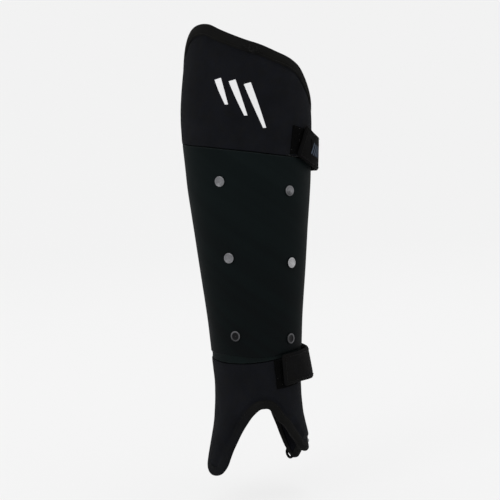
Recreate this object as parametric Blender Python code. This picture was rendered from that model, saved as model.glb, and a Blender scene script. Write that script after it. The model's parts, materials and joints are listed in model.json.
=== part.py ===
"""Field shin guard: neoprene sleeve with a riveted hard shell, foam pad, lining,
two closing straps and two flexible ankle legs.

Frame: metres, +Z up the shin, -Y to the front, origin on the leg's axis at the
level of the instep opening.  Everything is laid on one leg form: an ellipse whose
half width, half depth and centre change with the height.  A point of a piece is
given by its angle round the leg (0 = front, + = wearer-facing right side, degrees),
its height in mm and its offset from the form along the outward normal in mm.
"""
import math

import bpy
import bmesh
import numpy as np
from mathutils import Vector

for o in list(bpy.data.objects):
    bpy.data.objects.remove(o, do_unlink=True)

MM = 0.001

# ---------------------------------------------------------------- dimensions, mm
GAP = 0.4                 # clearance between touching layers
SLEEVE_T = 4.2            # neoprene sleeve
SLEEVE_T_SHELL = 3.5      # the same sleeve pressed flat under the shell
RECESS = 3.0              # how deep the sleeve is pressed under the shell
SHELL_T = 2.5             # moulded shell
FOAM_T = 5.0              # foam pad behind the shell
LINING_T = 0.9            # brushed lining
BIND_T = 0.9              # folded binding tape
BIND_GAP = 0.6            # clearance under the tape
BIND_W = 6.0              # how far the tape reaches over the edge
RIVET_R = 4.6             # rivet head
RIVET_SHANK_R = 1.9
CALF_W = 30.0             # calf strap width
ANKLE_W = 28.0            # ankle strap width
STRAP_T = 2.2             # elastic strap
PATCH_T = 1.0             # hook and loop tape
Z_CUT = 2.0               # level at which the two legs leave the sleeve

# height, half width, half depth, centre y of the leg form
FORM = [(-75, 52, 56, -2), (-60, 50.5, 54, -2), (-45, 47.5, 51.5, -2),
        (-30, 44.5, 49.5, -2.5), (-15, 41.6, 47.5, -3), (0, 39.8, 46, -3.5),
        (20, 39, 45, -4), (40, 40, 45.5, -4), (60, 41.2, 46.5, -3.5),
        (80, 42.7, 47.5, -3), (100, 44.7, 49, -2.5), (120, 46.9, 50.5, -2),
        (140, 49, 52, -1), (160, 51, 53.5, 0), (180, 53.2, 55.5, 0.5),
        (200, 55.2, 57, 1), (220, 56.4, 58, 1.5), (240, 57.7, 59, 2),
        (260, 58.3, 59.5, 2), (280, 57.4, 59, 1.5), (300, 55.3, 57.5, 0.5),
        (320, 52.6, 55.5, -0.5), (345, 49, 53, -2)]
# outline design stations: (angle, height)
TOP_EDGE = [(-116, 284), (-110, 296), (-100, 308), (-88, 318), (-75, 326), (-60, 333),
            (-47, 337), (-32, 332), (-19, 327), (-5, 322), (8, 318), (24, 312),
            (41, 306), (54, 299), (62, 291.5), (72, 282), (84, 272), (96, 264),
            (107, 255), (116, 244)]
REAR_EDGE = [(-15, 155), (0, 155), (15, 150), (40, 139), (70, 127), (100, 120),
             (150, 117), (200, 116), (260, 115), (345, 114)]       # height, angle
ARCH = [(-16, 2.0), (-11, 5.0), (-7.6, 6.6), (-1, 7.3), (5, 6.9), (9, 5.0), (12.6, 2.0)]
LEFT_LEG = [(-16, 2.0), (-17.3, 1.2), (-27, -7.6), (-34, -15.7), (-40, -25), (-43.5, -31),
            (-46.7, -38), (-50.5, -46.5), (-57.5, -53), (-68, -55.2), (-80, -54),
            (-96, -48.5), (-113, -40), (-130, -29), (-143, -17), (-152, -4)]
RIGHT_LEG = [(12.6, 2.0), (14, 0.6), (19, -4.8), (28.5, -11.5), (35, -18.9), (43, -27.4),
             (47.5, -33), (54, -36.5), (66, -37.5), (82, -38.5), (100, -42.5),
             (113, -47), (121, -50.5), (128, -52.0), (134, -52.2), (139, -50.5),
             (142.3, -45.5), (147, -36), (151, -25), (154.5, -12)]
SHELL_TOP = [(-104, 239.5), (-73, 237), (-48, 235), (-24, 232), (-2.5, 229), (20, 225.5),
             (43, 222.7), (64, 219.3), (90, 215)]
SHELL_FOOT = 46.2         # lower edge of the shell's lip
SHELL_LEFT, SHELL_RIGHT = -0.885, 0.76   # side edges, as shares of the sleeve's wrap
SHELL_CORNER = 13.0
RIVETS = [(-33.6, 205.2), (31.6, 194.6), (-31.5, 139.0), (36.5, 132.0), (-32.4, 70.6),
          (38.2, 65.2)]

_FZ = np.array([f[0] for f in FORM], float)


def hermite(xs, ys, x):
    """Smooth curve through the stations (xs rising)."""
    xs, ys = np.asarray(xs, float), np.asarray(ys, float)
    x = min(max(float(x), xs[0]), xs[-1])
    i = int(min(max(np.searchsorted(xs, x) - 1, 0), len(xs) - 2))
    m = np.gradient(ys, xs)
    h = xs[i + 1] - xs[i]
    t = (x - xs[i]) / h
    return ((2 * t ** 3 - 3 * t * t + 1) * ys[i] + (t ** 3 - 2 * t * t + t) * h * m[i]
            + (-2 * t ** 3 + 3 * t * t) * ys[i + 1] + (t ** 3 - t * t) * h * m[i + 1])


def linear(table, x):
    return float(np.interp(x, [p[0] for p in table], [p[1] for p in table]))


def skin(phi, z, off=0.0):
    """The point at an angle and height, off mm outside the leg form."""
    a, b, c = (hermite(_FZ, [f[k] for f in FORM], z) for k in (1, 2, 3))
    s, co = math.sin(math.radians(phi)), math.cos(math.radians(phi))
    nx, ny = b * s, -a * co
    n = math.hypot(nx, ny)
    return Vector(((a * s + off * nx / n) * MM, (c - b * co + off * ny / n) * MM, z * MM))


def radius(phi, z):
    """Arc length in mm of one radian round the form."""
    a, b = hermite(_FZ, [f[1] for f in FORM], z), hermite(_FZ, [f[2] for f in FORM], z)
    return math.hypot(a * math.cos(math.radians(phi)), b * math.sin(math.radians(phi)))


def slide(phi, z, ds, dz):
    """The angle and height ds mm round the leg and dz mm up from a point."""
    return phi + math.degrees(ds / radius(phi, z)), z + dz


def top_z(phi):
    return hermite([p[0] for p in TOP_EDGE], [p[1] for p in TOP_EDGE], phi)


def rear_phi(z):
    return hermite([p[0] for p in REAR_EDGE], [p[1] for p in REAR_EDGE], z)


def shell_top(phi):
    return hermite([p[0] for p in SHELL_TOP], [p[1] for p in SHELL_TOP], phi)


# ---------------------------------------------------------------- materials
def material(name, colour, rough, metallic=0.0):
    m = bpy.data.materials.new(name)
    m.use_nodes = True
    b = m.node_tree.nodes["Principled BSDF"]
    b.inputs["Base Color"].default_value = (*colour, 1)
    b.inputs["Roughness"].default_value = rough
    b.inputs["Metallic"].default_value = metallic
    return m


NEOPRENE = (0.010, 0.010, 0.012)
SHELL_C = (0.007, 0.010, 0.0105)
TAPE = (0.006, 0.006, 0.006)
STRAP_C = (0.008, 0.008, 0.009)
NICKEL = (0.42, 0.42, 0.43)


# ---------------------------------------------------------------- mesh helpers
def add(name, verts, faces, mat, smooth=True):
    me = bpy.data.meshes.new(name)
    me.from_pydata([tuple(v) for v in verts], [], faces)
    me.validate()
    bm = bmesh.new()
    bm.from_mesh(me)
    bmesh.ops.recalc_face_normals(bm, faces=bm.faces[:])
    if bm.calc_volume(signed=True) < 0:
        bmesh.ops.reverse_faces(bm, faces=bm.faces[:])
    bm.to_mesh(me)
    bm.free()
    if smooth:
        me.shade_smooth()
        me.set_sharp_from_angle(angle=math.radians(40))
    ob = bpy.data.objects.new(name, me)
    me.materials.append(mat)
    bpy.context.scene.collection.objects.link(ob)
    return ob


def slab(name, outer, inner, mat):
    """A closed sheet from two equal grids of points (rows of columns)."""
    r, c = len(outer), len(outer[0])
    verts = [p for row in outer for p in row] + [p for row in inner for p in row]
    k = r * c
    f = []
    for i in range(r - 1):
        for j in range(c - 1):
            a, b, d, e = i * c + j, i * c + j + 1, (i + 1) * c + j + 1, (i + 1) * c + j
            f += [(a, b, d), (a, d, e), (k + d, k + b, k + a), (k + e, k + d, k + a)]
    rim = ([j for j in range(c)] + [i * c + c - 1 for i in range(1, r)]
           + [(r - 1) * c + j for j in range(c - 2, -1, -1)]
           + [i * c for i in range(r - 2, 0, -1)])
    for n, a in enumerate(rim):
        b = rim[(n + 1) % len(rim)]
        f.append((b, a, k + a, k + b))
    return add(name, verts, f, mat)


def sweep(name, rings, mat):
    """A closed bar from rings of points, capped at both ends."""
    n = len(rings[0])
    verts = [p for r in rings for p in r]
    f = [tuple(range(n))[::-1]]
    for i in range(len(rings) - 1):
        for j in range(n):
            a, b = i * n + j, i * n + (j + 1) % n
            f.append((a, b, b + n, a + n))
    f.append(tuple(range((len(rings) - 1) * n, len(rings) * n)))
    return add(name, verts, f, mat)


# ---------------------------------------------------------------- the sleeve grid
U = sorted([s * v for v in (1, .955, .7, .6, .5, .4, .3, .22, .16, .115)
            for s in (-1, 1)] + [-.075, -.035, 0, .035, .075]
           + [-.912, SHELL_LEFT - .008, -.79, SHELL_RIGHT + .008, SHELL_RIGHT + .035, .87])
ROWS_CUFF, ROWS_SHELL, ROWS_ANKLE = 4, 7, 3


def root_foot(phi):
    """Lower edge of the sleeve: the arch in front, the level cut at the sides."""
    if ARCH[0][0] < phi < ARCH[-1][0]:
        return hermite([p[0] for p in ARCH], [p[1] for p in ARCH], phi)
    return Z_CUT


def sleeve_lines():
    """Rows of (angle, height, outer offset, thickness), from the top edge down."""
    rows = []
    n_c = ROWS_CUFF
    for k in range(n_c + 1):
        rows.append(("cuff", k / n_c))
    for k in range(ROWS_SHELL + 1):
        rows.append(("shell", k / ROWS_SHELL))
    for k in range(ROWS_ANKLE + 1):
        rows.append(("ankle", k / ROWS_ANKLE))
    grid = []
    for zone, t in rows:
        line = []
        for u in U:
            top = top_z(u * 116)
            foot = root_foot(u * rear_phi(0))
            st = shell_top(max(-104, min(90, u * 117)))
            sb = SHELL_FOOT
            if zone == "cuff":
                z = top + t * (st + 2.4 - top)
                off, th = 0.0, SLEEVE_T
            elif zone == "shell":
                z = st + 1.2 + t * (sb - 1.2 - st - 1.2)
                under = SHELL_LEFT - .01 < u < SHELL_RIGHT + .01
                off, th = (-RECESS, SLEEVE_T_SHELL) if under else (0.0, SLEEVE_T)
            else:
                z = sb - 2.4 + t * (foot - sb + 2.4)
                off, th = 0.0, SLEEVE_T
            line.append((u * rear_phi(z), z, off, th))
        grid.append(line)
    return grid


GRID = sleeve_lines()
NR, NC = len(GRID), len(U)


def foam_t(i, j):
    """Foam thickness at a grid point: full in the middle, thin at its edge."""
    if not (FI0 <= i <= FI1 and FJ0 <= j <= FJ1):
        return 0.0
    edge = min(i - FI0, FI1 - i, j - FJ0, FJ1 - j)
    return FOAM_T * (0.3 if edge == 0 else 0.8 if edge == 1 else 1.0)


FI0, FI1 = ROWS_CUFF - 1, ROWS_CUFF + ROWS_SHELL + 2
FJ0, FJ1 = 4, NC - 5

neoprene = material("neoprene_black", NEOPRENE, 0.85)
sleeve = slab("neoprene_sleeve",
              [[skin(p, z, o) for p, z, o, t in row] for row in GRID],
              [[skin(p, z, o - t) for p, z, o, t in row] for row in GRID], neoprene)

foam = slab("foam_pad",
            [[skin(p, z, o - t - GAP) for p, z, o, t in row[FJ0:FJ1 + 1]]
             for row in GRID[FI0:FI1 + 1]],
            [[skin(GRID[i][j][0], GRID[i][j][1],
                   GRID[i][j][2] - GRID[i][j][3] - GAP - foam_t(i, j))
              for j in range(FJ0, FJ1 + 1)] for i in range(FI0, FI1 + 1)],
            material("foam_grey", (0.05, 0.05, 0.055), 0.9))

LI, LJ = (1, NR - 2), (2, NC - 3)
slab("inner_lining",
     [[skin(GRID[i][j][0], GRID[i][j][1],
            GRID[i][j][2] - GRID[i][j][3] - 2 * GAP - foam_t(i, j))
       for j in range(LJ[0], LJ[1] + 1)] for i in range(LI[0], LI[1] + 1)],
     [[skin(GRID[i][j][0], GRID[i][j][1],
            GRID[i][j][2] - GRID[i][j][3] - 2 * GAP - foam_t(i, j) - LINING_T)
       for j in range(LJ[0], LJ[1] + 1)] for i in range(LI[0], LI[1] + 1)],
     material("lining_black", (0.015, 0.015, 0.017), 0.95))

# ---------------------------------------------------------------- hard shell
SH_COLS, SH_ROWS = 22, 9


def shell_grid(off):
    rows = []
    for i in range(SH_ROWS + 1):
        v = i / SH_ROWS
        v = 0.5 - 0.5 * math.cos(math.pi * v)          # closer rows near both edges
        row = []
        for j in range(SH_COLS + 1):
            u = 0.5 - 0.5 * math.cos(math.pi * (0.15 + 0.7 * j / SH_COLS))
            u = (u - (0.5 - 0.5 * math.cos(math.pi * 0.15))) / math.cos(math.pi * 0.15)
            w = SHELL_LEFT + u * (SHELL_RIGHT - SHELL_LEFT)
            z0, z1 = SHELL_FOOT, shell_top(max(-104, min(90, w * 117)))
            # rounded corners: the edge falls back near both sides
            d = min(w - SHELL_LEFT, SHELL_RIGHT - w) * math.radians(117) * radius(90, 130)
            if d < SHELL_CORNER:
                k = SHELL_CORNER - math.sqrt(max(SHELL_CORNER ** 2 - (SHELL_CORNER - d) ** 2, 0))
                z1 -= k
                z0 += k
            z = z1 + v * (z0 - z1)
            row.append(skin(w * rear_phi(z), z, off))
        rows.append(row)
    return rows


shell = slab("hard_shell", shell_grid(0.0), shell_grid(-SHELL_T),
             material("shell_plastic", SHELL_C, 0.45))


# ---------------------------------------------------------------- bindings
def binding(name, path, colour_mat):
    """Tape folded over an edge.  path: (angle, height, outer offset, thickness) along
    the edge, with the material on the left of the direction of travel seen from outside."""
    rings = []
    for k, (p, z, o, t) in enumerate(path):
        a, b = path[max(k - 1, 0)], path[min(k + 1, len(path) - 1)]
        r = radius(p, z)
        ds, dz = math.radians(b[0] - a[0]) * r, b[1] - a[1]
        n = math.hypot(ds, dz)
        es, ez = dz / n, -ds / n                       # away from the material
        g, w, h = BIND_GAP, BIND_W, BIND_T
        prof = [(g + h, o + g + h), (-w, o + g + h), (-w, o + g), (g, o + g),
                (g, o - t - g), (2 - w, o - t - g),
                (2 - w, o - t - g - h), (g + h, o - t - g - h)]
        rings.append([skin(*slide(p, z, es * e, ez * e), off) for e, off in prof])
    return sweep(name, rings, colour_mat)


tape = material("binding_tape", TAPE, 0.8)
top_path = [GRID[0][j] for j in range(NC - 2, 0, -1)]
binding("top_binding", top_path, tape)
binding("right_edge_binding", [GRID[i][NC - 1] for i in range(NR - 2, 0, -1)], tape)
binding("left_edge_binding", [GRID[i][0] for i in range(1, NR - 1)], tape)

arch_cols = [j for j in range(NC) if ARCH[0][0] + 1.5 < GRID[-1][j][0] < ARCH[-1][0] - 1.5]
binding("arch_binding", [GRID[-1][j] for j in arch_cols], tape)


# ---------------------------------------------------------------- ankle legs
def leg(name, outline, cols, rows, mat):
    """A tongue of the sleeve below the level cut; outline runs from front to rear."""
    xs = [p[0] for p in outline]
    if xs[0] > xs[-1]:
        xs, zs = xs[::-1], [p[1] for p in outline][::-1]
    else:
        zs = [p[1] for p in outline]
    lo, hi = xs[0], xs[-1]
    grid = []
    phis = [lo + (hi - lo) * k / cols for k in range(cols + 1)]
    for i in range(rows + 1):
        v = i / rows
        grid.append([(p, (Z_CUT - GAP) + v * (float(np.interp(p, xs, zs)) - Z_CUT + GAP), 0.0,
                      SLEEVE_T) for p in phis])
    ob = slab(name, [[skin(p, z, o) for p, z, o, t in r] for r in grid],
              [[skin(p, z, o - t) for p, z, o, t in r] for r in grid], mat)
    return ob, grid


left_out = [p for p in LEFT_LEG if p[0] <= -18.5]
left_out = [(-19, linear([(-p[0], p[1]) for p in LEFT_LEG], 19))] + [p for p in left_out if p[0] < -19.5]
right_out = [(15.5, linear(RIGHT_LEG, 15.5))] + [p for p in RIGHT_LEG if p[0] > 16]
left_leg, left_grid = leg("left_leg", left_out, 26, 5, neoprene)
right_leg, right_grid = leg("right_leg", right_out, 28, 5, neoprene)

lb = [left_grid[-1][j] for j in range(len(left_grid[-1]) - 2, -1, -1)]
lb = [q for q in lb if -118 < q[0]]
binding("left_leg_binding", lb[::-1], tape)
rb = [q for q in right_grid[-1][1:] if q[0] < 118]
binding("right_leg_binding", rb, tape)


# ---------------------------------------------------------------- patches and straps
def patch(name, corners, off, t, mat, cols=4, rows=3):
    """A thin patch between four (angle, height) corners: top left, top right,
    bottom right, bottom left."""
    (p0, z0), (p1, z1), (p2, z2), (p3, z3) = corners
    out, inn = [], []
    for i in range(rows + 1):
        v = i / rows
        a = (p0 + (p3 - p0) * v, z0 + (z3 - z0) * v)
        b = (p1 + (p2 - p1) * v, z1 + (z2 - z1) * v)
        out.append([skin(a[0] + (b[0] - a[0]) * k / cols, a[1] + (b[1] - a[1]) * k / cols,
                         off + t) for k in range(cols + 1)])
        inn.append([skin(a[0] + (b[0] - a[0]) * k / cols, a[1] + (b[1] - a[1]) * k / cols,
                         off) for k in range(cols + 1)])
    return slab(name, out, inn, mat)


def band(name, stations, width, thick, mat, steps, s0, s1, side=(1.0, 1.0), lift=0.0):
    """A strap along smooth stations (angle, height, offset, outward tilt), cut from
    share s0 to s1 of its run; lift moves it off the centre surface."""
    xs = list(range(len(stations)))
    ph, zz, oo, tt = ([s[k] for s in stations] for k in range(4))
    out, inn = [], []
    for n in range(steps + 1):
        q = (s0 + (s1 - s0) * n / steps) * (len(stations) - 1)
        e = 0.02
        p, z, o, ti = (hermite(xs, k, q) for k in (ph, zz, oo, tt))
        pa, za = hermite(xs, ph, q - e), hermite(xs, zz, q - e)
        pb, zb = hermite(xs, ph, q + e), hermite(xs, zz, q + e)
        r = radius(p, z) + o
        ds, dz = math.radians(pb - pa) * r, zb - za
        m = math.hypot(ds, dz)
        ws, wz = -dz / m, ds / m                        # across the strap, upwards
        ro, ri = [], []
        for k in (-0.5 * side[0], 0.0, 0.5 * side[1]):
            d = k * width
            pp, zp = p + math.degrees(ws * d / r), z + wz * d
            of = o + lift - ti * d
            ri.append(skin(pp, zp, of))
            ro.append(skin(pp, zp, of + thick))
        out.append(ro)
        inn.append(ri)
    return slab(name, out, inn, mat)


strap_mat = material("strap_elastic", STRAP_C, 0.75)
hook_mat = material("hook_tape", (0.010, 0.010, 0.011), 0.7)
loop_mat = material("loop_tape", (0.004, 0.004, 0.004), 0.95)

# angle, height, offset of the inner face, outward tilt per mm of height
CALF = [(45.5, 237, 3.0, 0), (54, 232, 3.6, 0), (63, 228, 5.0, 0), (73, 225.8, 6.8, 0),
        (84, 225, 8.0, 0), (97, 224.5, 8.4, 0), (112, 224, 8.4, 0), (130, 223, 8.6, 0),
        (150, 222, 9.0, 0), (170, 221, 9.2, 0), (190, 220, 9.0, 0), (210, 219, 8.0, 0),
        (227, 218, 5.2, 0), (241, 218, 2.2, 0)]
ANKLE = [(24.2, 38.5, 3.0, 0), (33, 38.8, 3.1, 0), (44, 39.2, 3.6, 0.0), (56, 39.3, 4.8, 0.05),
         (68, 39.0, 6.2, 0.13), (80, 38.4, 7.4, 0.19), (96, 37.5, 7.4, 0.14),
         (113, 37, 7.0, 0.06), (133, 36.5, 7.0, 0), (156, 36, 8.0, 0), (180, 36, 8.0, 0),
         (202, 36, 5.5, 0), (217, 36, 2.2, 0)]


def share(stations, phi):
    ph = [s[0] for s in stations]
    i = next(k for k in range(len(ph) - 1) if ph[k + 1] >= phi)
    return (i + (phi - ph[i]) / (ph[i + 1] - ph[i])) / (len(ph) - 1)


CALF_HINGE, ANKLE_HINGE = 97.0, 92.0                    # where the tab peels from
for pre, st, w, hinge, hook_to in (("calf", CALF, CALF_W, CALF_HINGE, 66),
                                   ("ankle", ANKLE, ANKLE_W, ANKLE_HINGE, 48)):
    q = share(st, hinge)
    band(pre + "_strap_tab", st, w, STRAP_T, strap_mat, 8, 0.0, q - 0.006)
    band(pre + "_strap_band", st, w, STRAP_T, strap_mat, 18, q + 0.006, 1.0)
    band(pre + "_hook_patch", st, w - 4, PATCH_T, hook_mat, 4, 0.012, share(st, hook_to),
         lift=-PATCH_T - 0.3)

# hook tape bears on the loop tape, which is sewn to the sleeve
patch("calf_loop_patch", [(44.2, 252.5), (66, 246.5), (64, 216.5 + 9), (35.5, 225.5)], 0.3,
      PATCH_T, loop_mat)
patch("ankle_loop_patch", [(14.6, 45), (54, 45), (54, 26), (15.2, 26)], 0.3, PATCH_T, loop_mat, cols=5)

# sewn ends of the straps on the rear left edge
patch("calf_strap_anchor", [(-117.6, 233), (-107.5, 233), (-107.5, 203), (-117.6, 203)], 1.7,
      STRAP_T, strap_mat, cols=3)
patch("ankle_strap_anchor", [(-141.5, 50), (-123, 50), (-123, 22), (-141.5, 22)], 1.7,
      STRAP_T, strap_mat, cols=4)

# woven mark on the calf strap
q0, q1 = share(CALF, 59), share(CALF, 76)
band("calf_strap_label", CALF, 15.0, 0.35, material("label_blue", (0.25, 0.33, 0.45), 0.8), 4,
     q0, q1, lift=STRAP_T + 0.3)

# plain slanted bars printed on the cuff
mark_mat = material("print_white", (0.80, 0.80, 0.80), 0.5)
BARS = [("a", -34, 292, 13, 22), ("b", -21, 290, 18, 30), ("c", -8, 287, 22, 38)]
for tag, p, z, lean, drop in BARS:
    patch("front_mark_" + tag, [(p, z), (p + 6.0, z), (p + 6.0 + lean * 0.6, z - drop),
                                (p + lean * 0.6, z - drop)], 0.3, 0.3, mark_mat, cols=2, rows=2)

# elastic loop at the tip of the right leg
rings = []
LOOP_R, LOOP_W = 4.3, 3.0
c0 = skin(137.5, -57.4, -2.1)
ex = (skin(139, -57.4, -2.1) - skin(136, -57.4, -2.1)).normalized()
nn = (skin(137.5, -57.4, 1) - skin(137.5, -57.4, 0)).normalized()
ez = Vector((0, 0, 1))
N = 20
verts, faces = [], []
for k in range(N):
    a = 2 * math.pi * k / N
    d = ex * math.cos(a) + ez * math.sin(a)
    for rr, h in ((LOOP_R, -1), (LOOP_R, 1), (LOOP_R - 1.5, 1), (LOOP_R - 1.5, -1)):
        verts.append(c0 + d * rr * MM + nn * h * LOOP_W / 2 * MM)
for k in range(N):
    for m in range(4):
        a, b = k * 4 + m, k * 4 + (m + 1) % 4
        c, d = ((k + 1) % N) * 4 + (m + 1) % 4, ((k + 1) % N) * 4 + m
        faces.append((a, b, c, d))
add("tip_loop", verts, faces, strap_mat)


# ---------------------------------------------------------------- rivets
def turned(name, profile, origin, axis, mat, seg=16):
    """A solid of revolution; profile (radius, height) from the axis or a closed ring."""
    axis = axis.normalized()
    s = axis.cross(Vector((0, 0, 1))).normalized()
    t = axis.cross(s)
    verts, faces, ids = [], [], []
    for r, h in profile:
        if r == 0:
            ids.append([len(verts)])
            verts.append(origin + axis * h * MM)
        else:
            row = []
            for k in range(seg):
                a = 2 * math.pi * k / seg
                row.append(len(verts))
                verts.append(origin + (s * math.cos(a) + t * math.sin(a)) * r * MM + axis * h * MM)
            ids.append(row)
    closed = profile[0][0] != 0
    pairs = list(zip(ids, ids[1:])) + ([(ids[-1], ids[0])] if closed else [])
    for a, b in pairs:
        for k in range(seg):
            n = (k + 1) % seg
            if len(a) == 1:
                faces.append((a[0], b[k], b[n]))
            elif len(b) == 1:
                faces.append((a[k], b[0], a[n]))
            else:
                faces.append((a[k], b[k], b[n], a[n]))
    return add(name, verts, faces, mat)


def cutter(name, origin, axis, r, h0, h1, target, seg=14):
    ob = turned(name, [(0, h1), (r, h1), (r, h0), (0, h0)], origin, axis, neoprene, seg)
    ob.hide_render = True
    ob.display_type = "WIRE"
    m = target.modifiers.new(name, "BOOLEAN")
    m.operation = "DIFFERENCE"
    m.solver = "EXACT"
    m.object = ob
    return ob


nickel = material("rivet_nickel", NICKEL, 0.3, 0.9)
steel = material("washer_steel", (0.35, 0.35, 0.35), 0.4, 0.9)
NAMES = ["top_left", "top_right", "mid_left", "mid_right", "low_left", "low_right"]
for nm, (p, z) in zip(NAMES, RIVETS):
    o = skin(p, z, 0)
    ax = (skin(p, z, 1) - o).normalized()
    sh = RIVET_SHANK_R
    turned("rivet_" + nm,
           [(0, 0.75), (2.6, 0.75), (3.3, 1.35), (4.1, 1.45), (RIVET_R, 0.95), (RIVET_R, 0.35),
            (sh, 0.35), (sh, -8.1), (0, -8.1)], o, ax, nickel, 14)
    turned("washer_" + nm,
           [(sh + 0.35, -7.2), (RIVET_R - 0.2, -7.2), (RIVET_R - 0.2, -7.8), (sh + 0.35, -7.8)],
           o, ax, steel, 14)
    cutter("cut_shell_" + nm, o, ax, sh + 0.35, -4.5, 2.0, shell)
    cutter("cut_sleeve_" + nm, o, ax, sh + 0.4, -9.0, 0.0, sleeve)
    cutter("cut_foam_" + nm, o, ax, RIVET_R + 0.3, -9.3, -5.0, foam)
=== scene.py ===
import bpy
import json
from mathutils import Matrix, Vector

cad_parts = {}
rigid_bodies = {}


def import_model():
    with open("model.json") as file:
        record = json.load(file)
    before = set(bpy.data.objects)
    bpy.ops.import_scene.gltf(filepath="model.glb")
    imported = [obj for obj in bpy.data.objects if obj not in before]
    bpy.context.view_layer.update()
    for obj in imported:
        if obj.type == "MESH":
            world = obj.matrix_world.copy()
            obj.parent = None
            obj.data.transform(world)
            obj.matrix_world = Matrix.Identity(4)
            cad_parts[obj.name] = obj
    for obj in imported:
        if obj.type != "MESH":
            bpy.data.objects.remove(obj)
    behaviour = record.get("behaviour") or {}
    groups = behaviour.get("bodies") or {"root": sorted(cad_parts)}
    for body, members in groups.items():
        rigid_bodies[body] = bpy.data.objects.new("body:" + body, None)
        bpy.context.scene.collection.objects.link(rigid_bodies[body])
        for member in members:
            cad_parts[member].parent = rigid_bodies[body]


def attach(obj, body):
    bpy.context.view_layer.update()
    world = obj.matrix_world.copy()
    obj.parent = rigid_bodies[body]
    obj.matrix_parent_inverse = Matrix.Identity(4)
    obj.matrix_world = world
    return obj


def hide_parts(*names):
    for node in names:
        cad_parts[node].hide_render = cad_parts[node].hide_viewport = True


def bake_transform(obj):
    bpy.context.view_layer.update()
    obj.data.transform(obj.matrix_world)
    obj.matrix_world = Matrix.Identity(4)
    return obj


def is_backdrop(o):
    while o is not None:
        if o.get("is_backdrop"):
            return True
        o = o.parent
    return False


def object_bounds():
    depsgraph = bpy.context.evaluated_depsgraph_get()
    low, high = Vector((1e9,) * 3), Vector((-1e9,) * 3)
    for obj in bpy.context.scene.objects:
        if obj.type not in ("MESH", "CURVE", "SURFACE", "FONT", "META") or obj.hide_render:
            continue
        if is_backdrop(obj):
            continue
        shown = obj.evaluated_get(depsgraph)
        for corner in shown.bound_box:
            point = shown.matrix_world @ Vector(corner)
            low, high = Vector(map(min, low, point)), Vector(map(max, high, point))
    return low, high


for thing in list(bpy.data.objects):
    bpy.data.objects.remove(thing, do_unlink=True)

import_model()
CAD_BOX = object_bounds()

import json
import math

import bmesh
import numpy as np
from mathutils import Matrix, Vector

RNG = np.random.default_rng(7)
MM = 0.001

# ------------------------------------------------------------------ the leg form, mm
FORM = [(-75, 52, 56, -2), (-60, 50.5, 54, -2), (-45, 47.5, 51.5, -2),
        (-30, 44.5, 49.5, -2.5), (-15, 41.6, 47.5, -3), (0, 39.8, 46, -3.5),
        (20, 39, 45, -4), (40, 40, 45.5, -4), (60, 41.2, 46.5, -3.5),
        (80, 42.7, 47.5, -3), (100, 44.7, 49, -2.5), (120, 46.9, 50.5, -2),
        (140, 49, 52, -1), (160, 51, 53.5, 0), (180, 53.2, 55.5, 0.5),
        (200, 55.2, 57, 1), (220, 56.4, 58, 1.5), (240, 57.7, 59, 2),
        (260, 58.3, 59.5, 2), (280, 57.4, 59, 1.5), (300, 55.3, 57.5, 0.5),
        (320, 52.6, 55.5, -0.5), (345, 49, 53, -2)]
TOP_EDGE = [(-116, 286), (-110, 300), (-100, 315), (-88, 327), (-75, 334.5), (-60, 338),
            (-47, 337.5), (-32, 332), (-19, 327), (-5, 322), (8, 318), (24, 312),
            (41, 306), (54, 299), (62, 291.5), (72, 282), (84, 272), (96, 264),
            (107, 255), (116, 244)]
REAR_EDGE = [(-15, 155), (0, 155), (15, 150), (40, 139), (70, 127), (100, 120),
             (150, 117), (200, 116), (260, 115), (345, 114)]
LEFT_OUT = [(-152, -4), (-143, -17), (-130, -29), (-113, -40), (-96, -48.5), (-80, -54),
            (-68, -55.2), (-57.5, -53), (-50.5, -46.5), (-46.7, -38), (-43.5, -31),
            (-40, -25), (-34, -15.7), (-27, -7.6), (-17.3, 1.2), (-11, 5.0), (-7.6, 6.6),
            (-1, 7.3)]
RIGHT_OUT = [(-1, 7.3), (5, 6.9), (9, 5.0), (12.6, 2.0), (19, -4.8), (28.5, -11.5),
             (35, -18.9), (43, -27.4), (47.5, -33), (54, -36.5), (66, -37.5), (82, -38.5),
             (100, -42.7), (111, -47.6), (118, -52.8), (123.5, -56.6), (128, -57.2), (131.4, -54.6),
             (134.2, -50.2), (138.4, -43.4), (144, -34.5), (149, -24), (153.6, -12)]
SHELL_TOP = [(-104, 239.5), (-73, 237), (-48, 235), (-24, 232), (-2.5, 229), (20, 225.5),
             (43, 222.7), (64, 219.3), (90, 215)]
LIP_FOOT = [(-125, 46.6), (-104, 46.6), (-72, 46.3), (-52, 45.9), (-20, 46.4), (-2, 47.4), (22, 49.0),
            (50, 49.6), (110, 49.6)]
SHELL_STEP = [(-125, 52.4), (-72, 52.4), (-35, 53.0), (-9, 51.6), (11, 51.6), (25, 53.0), (50, 54.0),
              (110, 54.0)]
SHELL_L, SHELL_R = -0.885, 0.76
Z_SPLIT = 12.0
SLEEVE_T = 4.2
CALF = [(43.0, 238, 2.4, 0), (54, 232, 2.8, 0), (63, 228, 3.6, 0), (73, 225.8, 4.2, 0),
        (84, 225, 4.6, 0), (97, 224.5, 5.0, 0), (112, 224, 6.0, 0), (130, 223, 7.8, 0),
        (150, 222, 9.0, 0), (170, 221, 9.2, 0), (190, 220, 9.0, 0), (210, 219, 8.0, 0),
        (227, 218, 5.2, 0), (241, 218, 2.2, 0)]
ANKLE = [(22.6, 38.8, 2.6, 0), (33, 39.4, 2.8, 0), (44, 39.8, 3.4, 0.0), (56, 40.0, 4.6, 0.08),
         (68, 39.6, 5.8, 0.16), (80, 38.8, 6.3, 0.20), (96, 37.8, 6.3, 0.15),
         (113, 37, 7.0, 0.06), (133, 36.5, 7.0, 0), (156, 36, 8.0, 0), (180, 36, 8.0, 0),
         (202, 36, 5.5, 0), (217, 36, 2.2, 0)]
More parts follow.
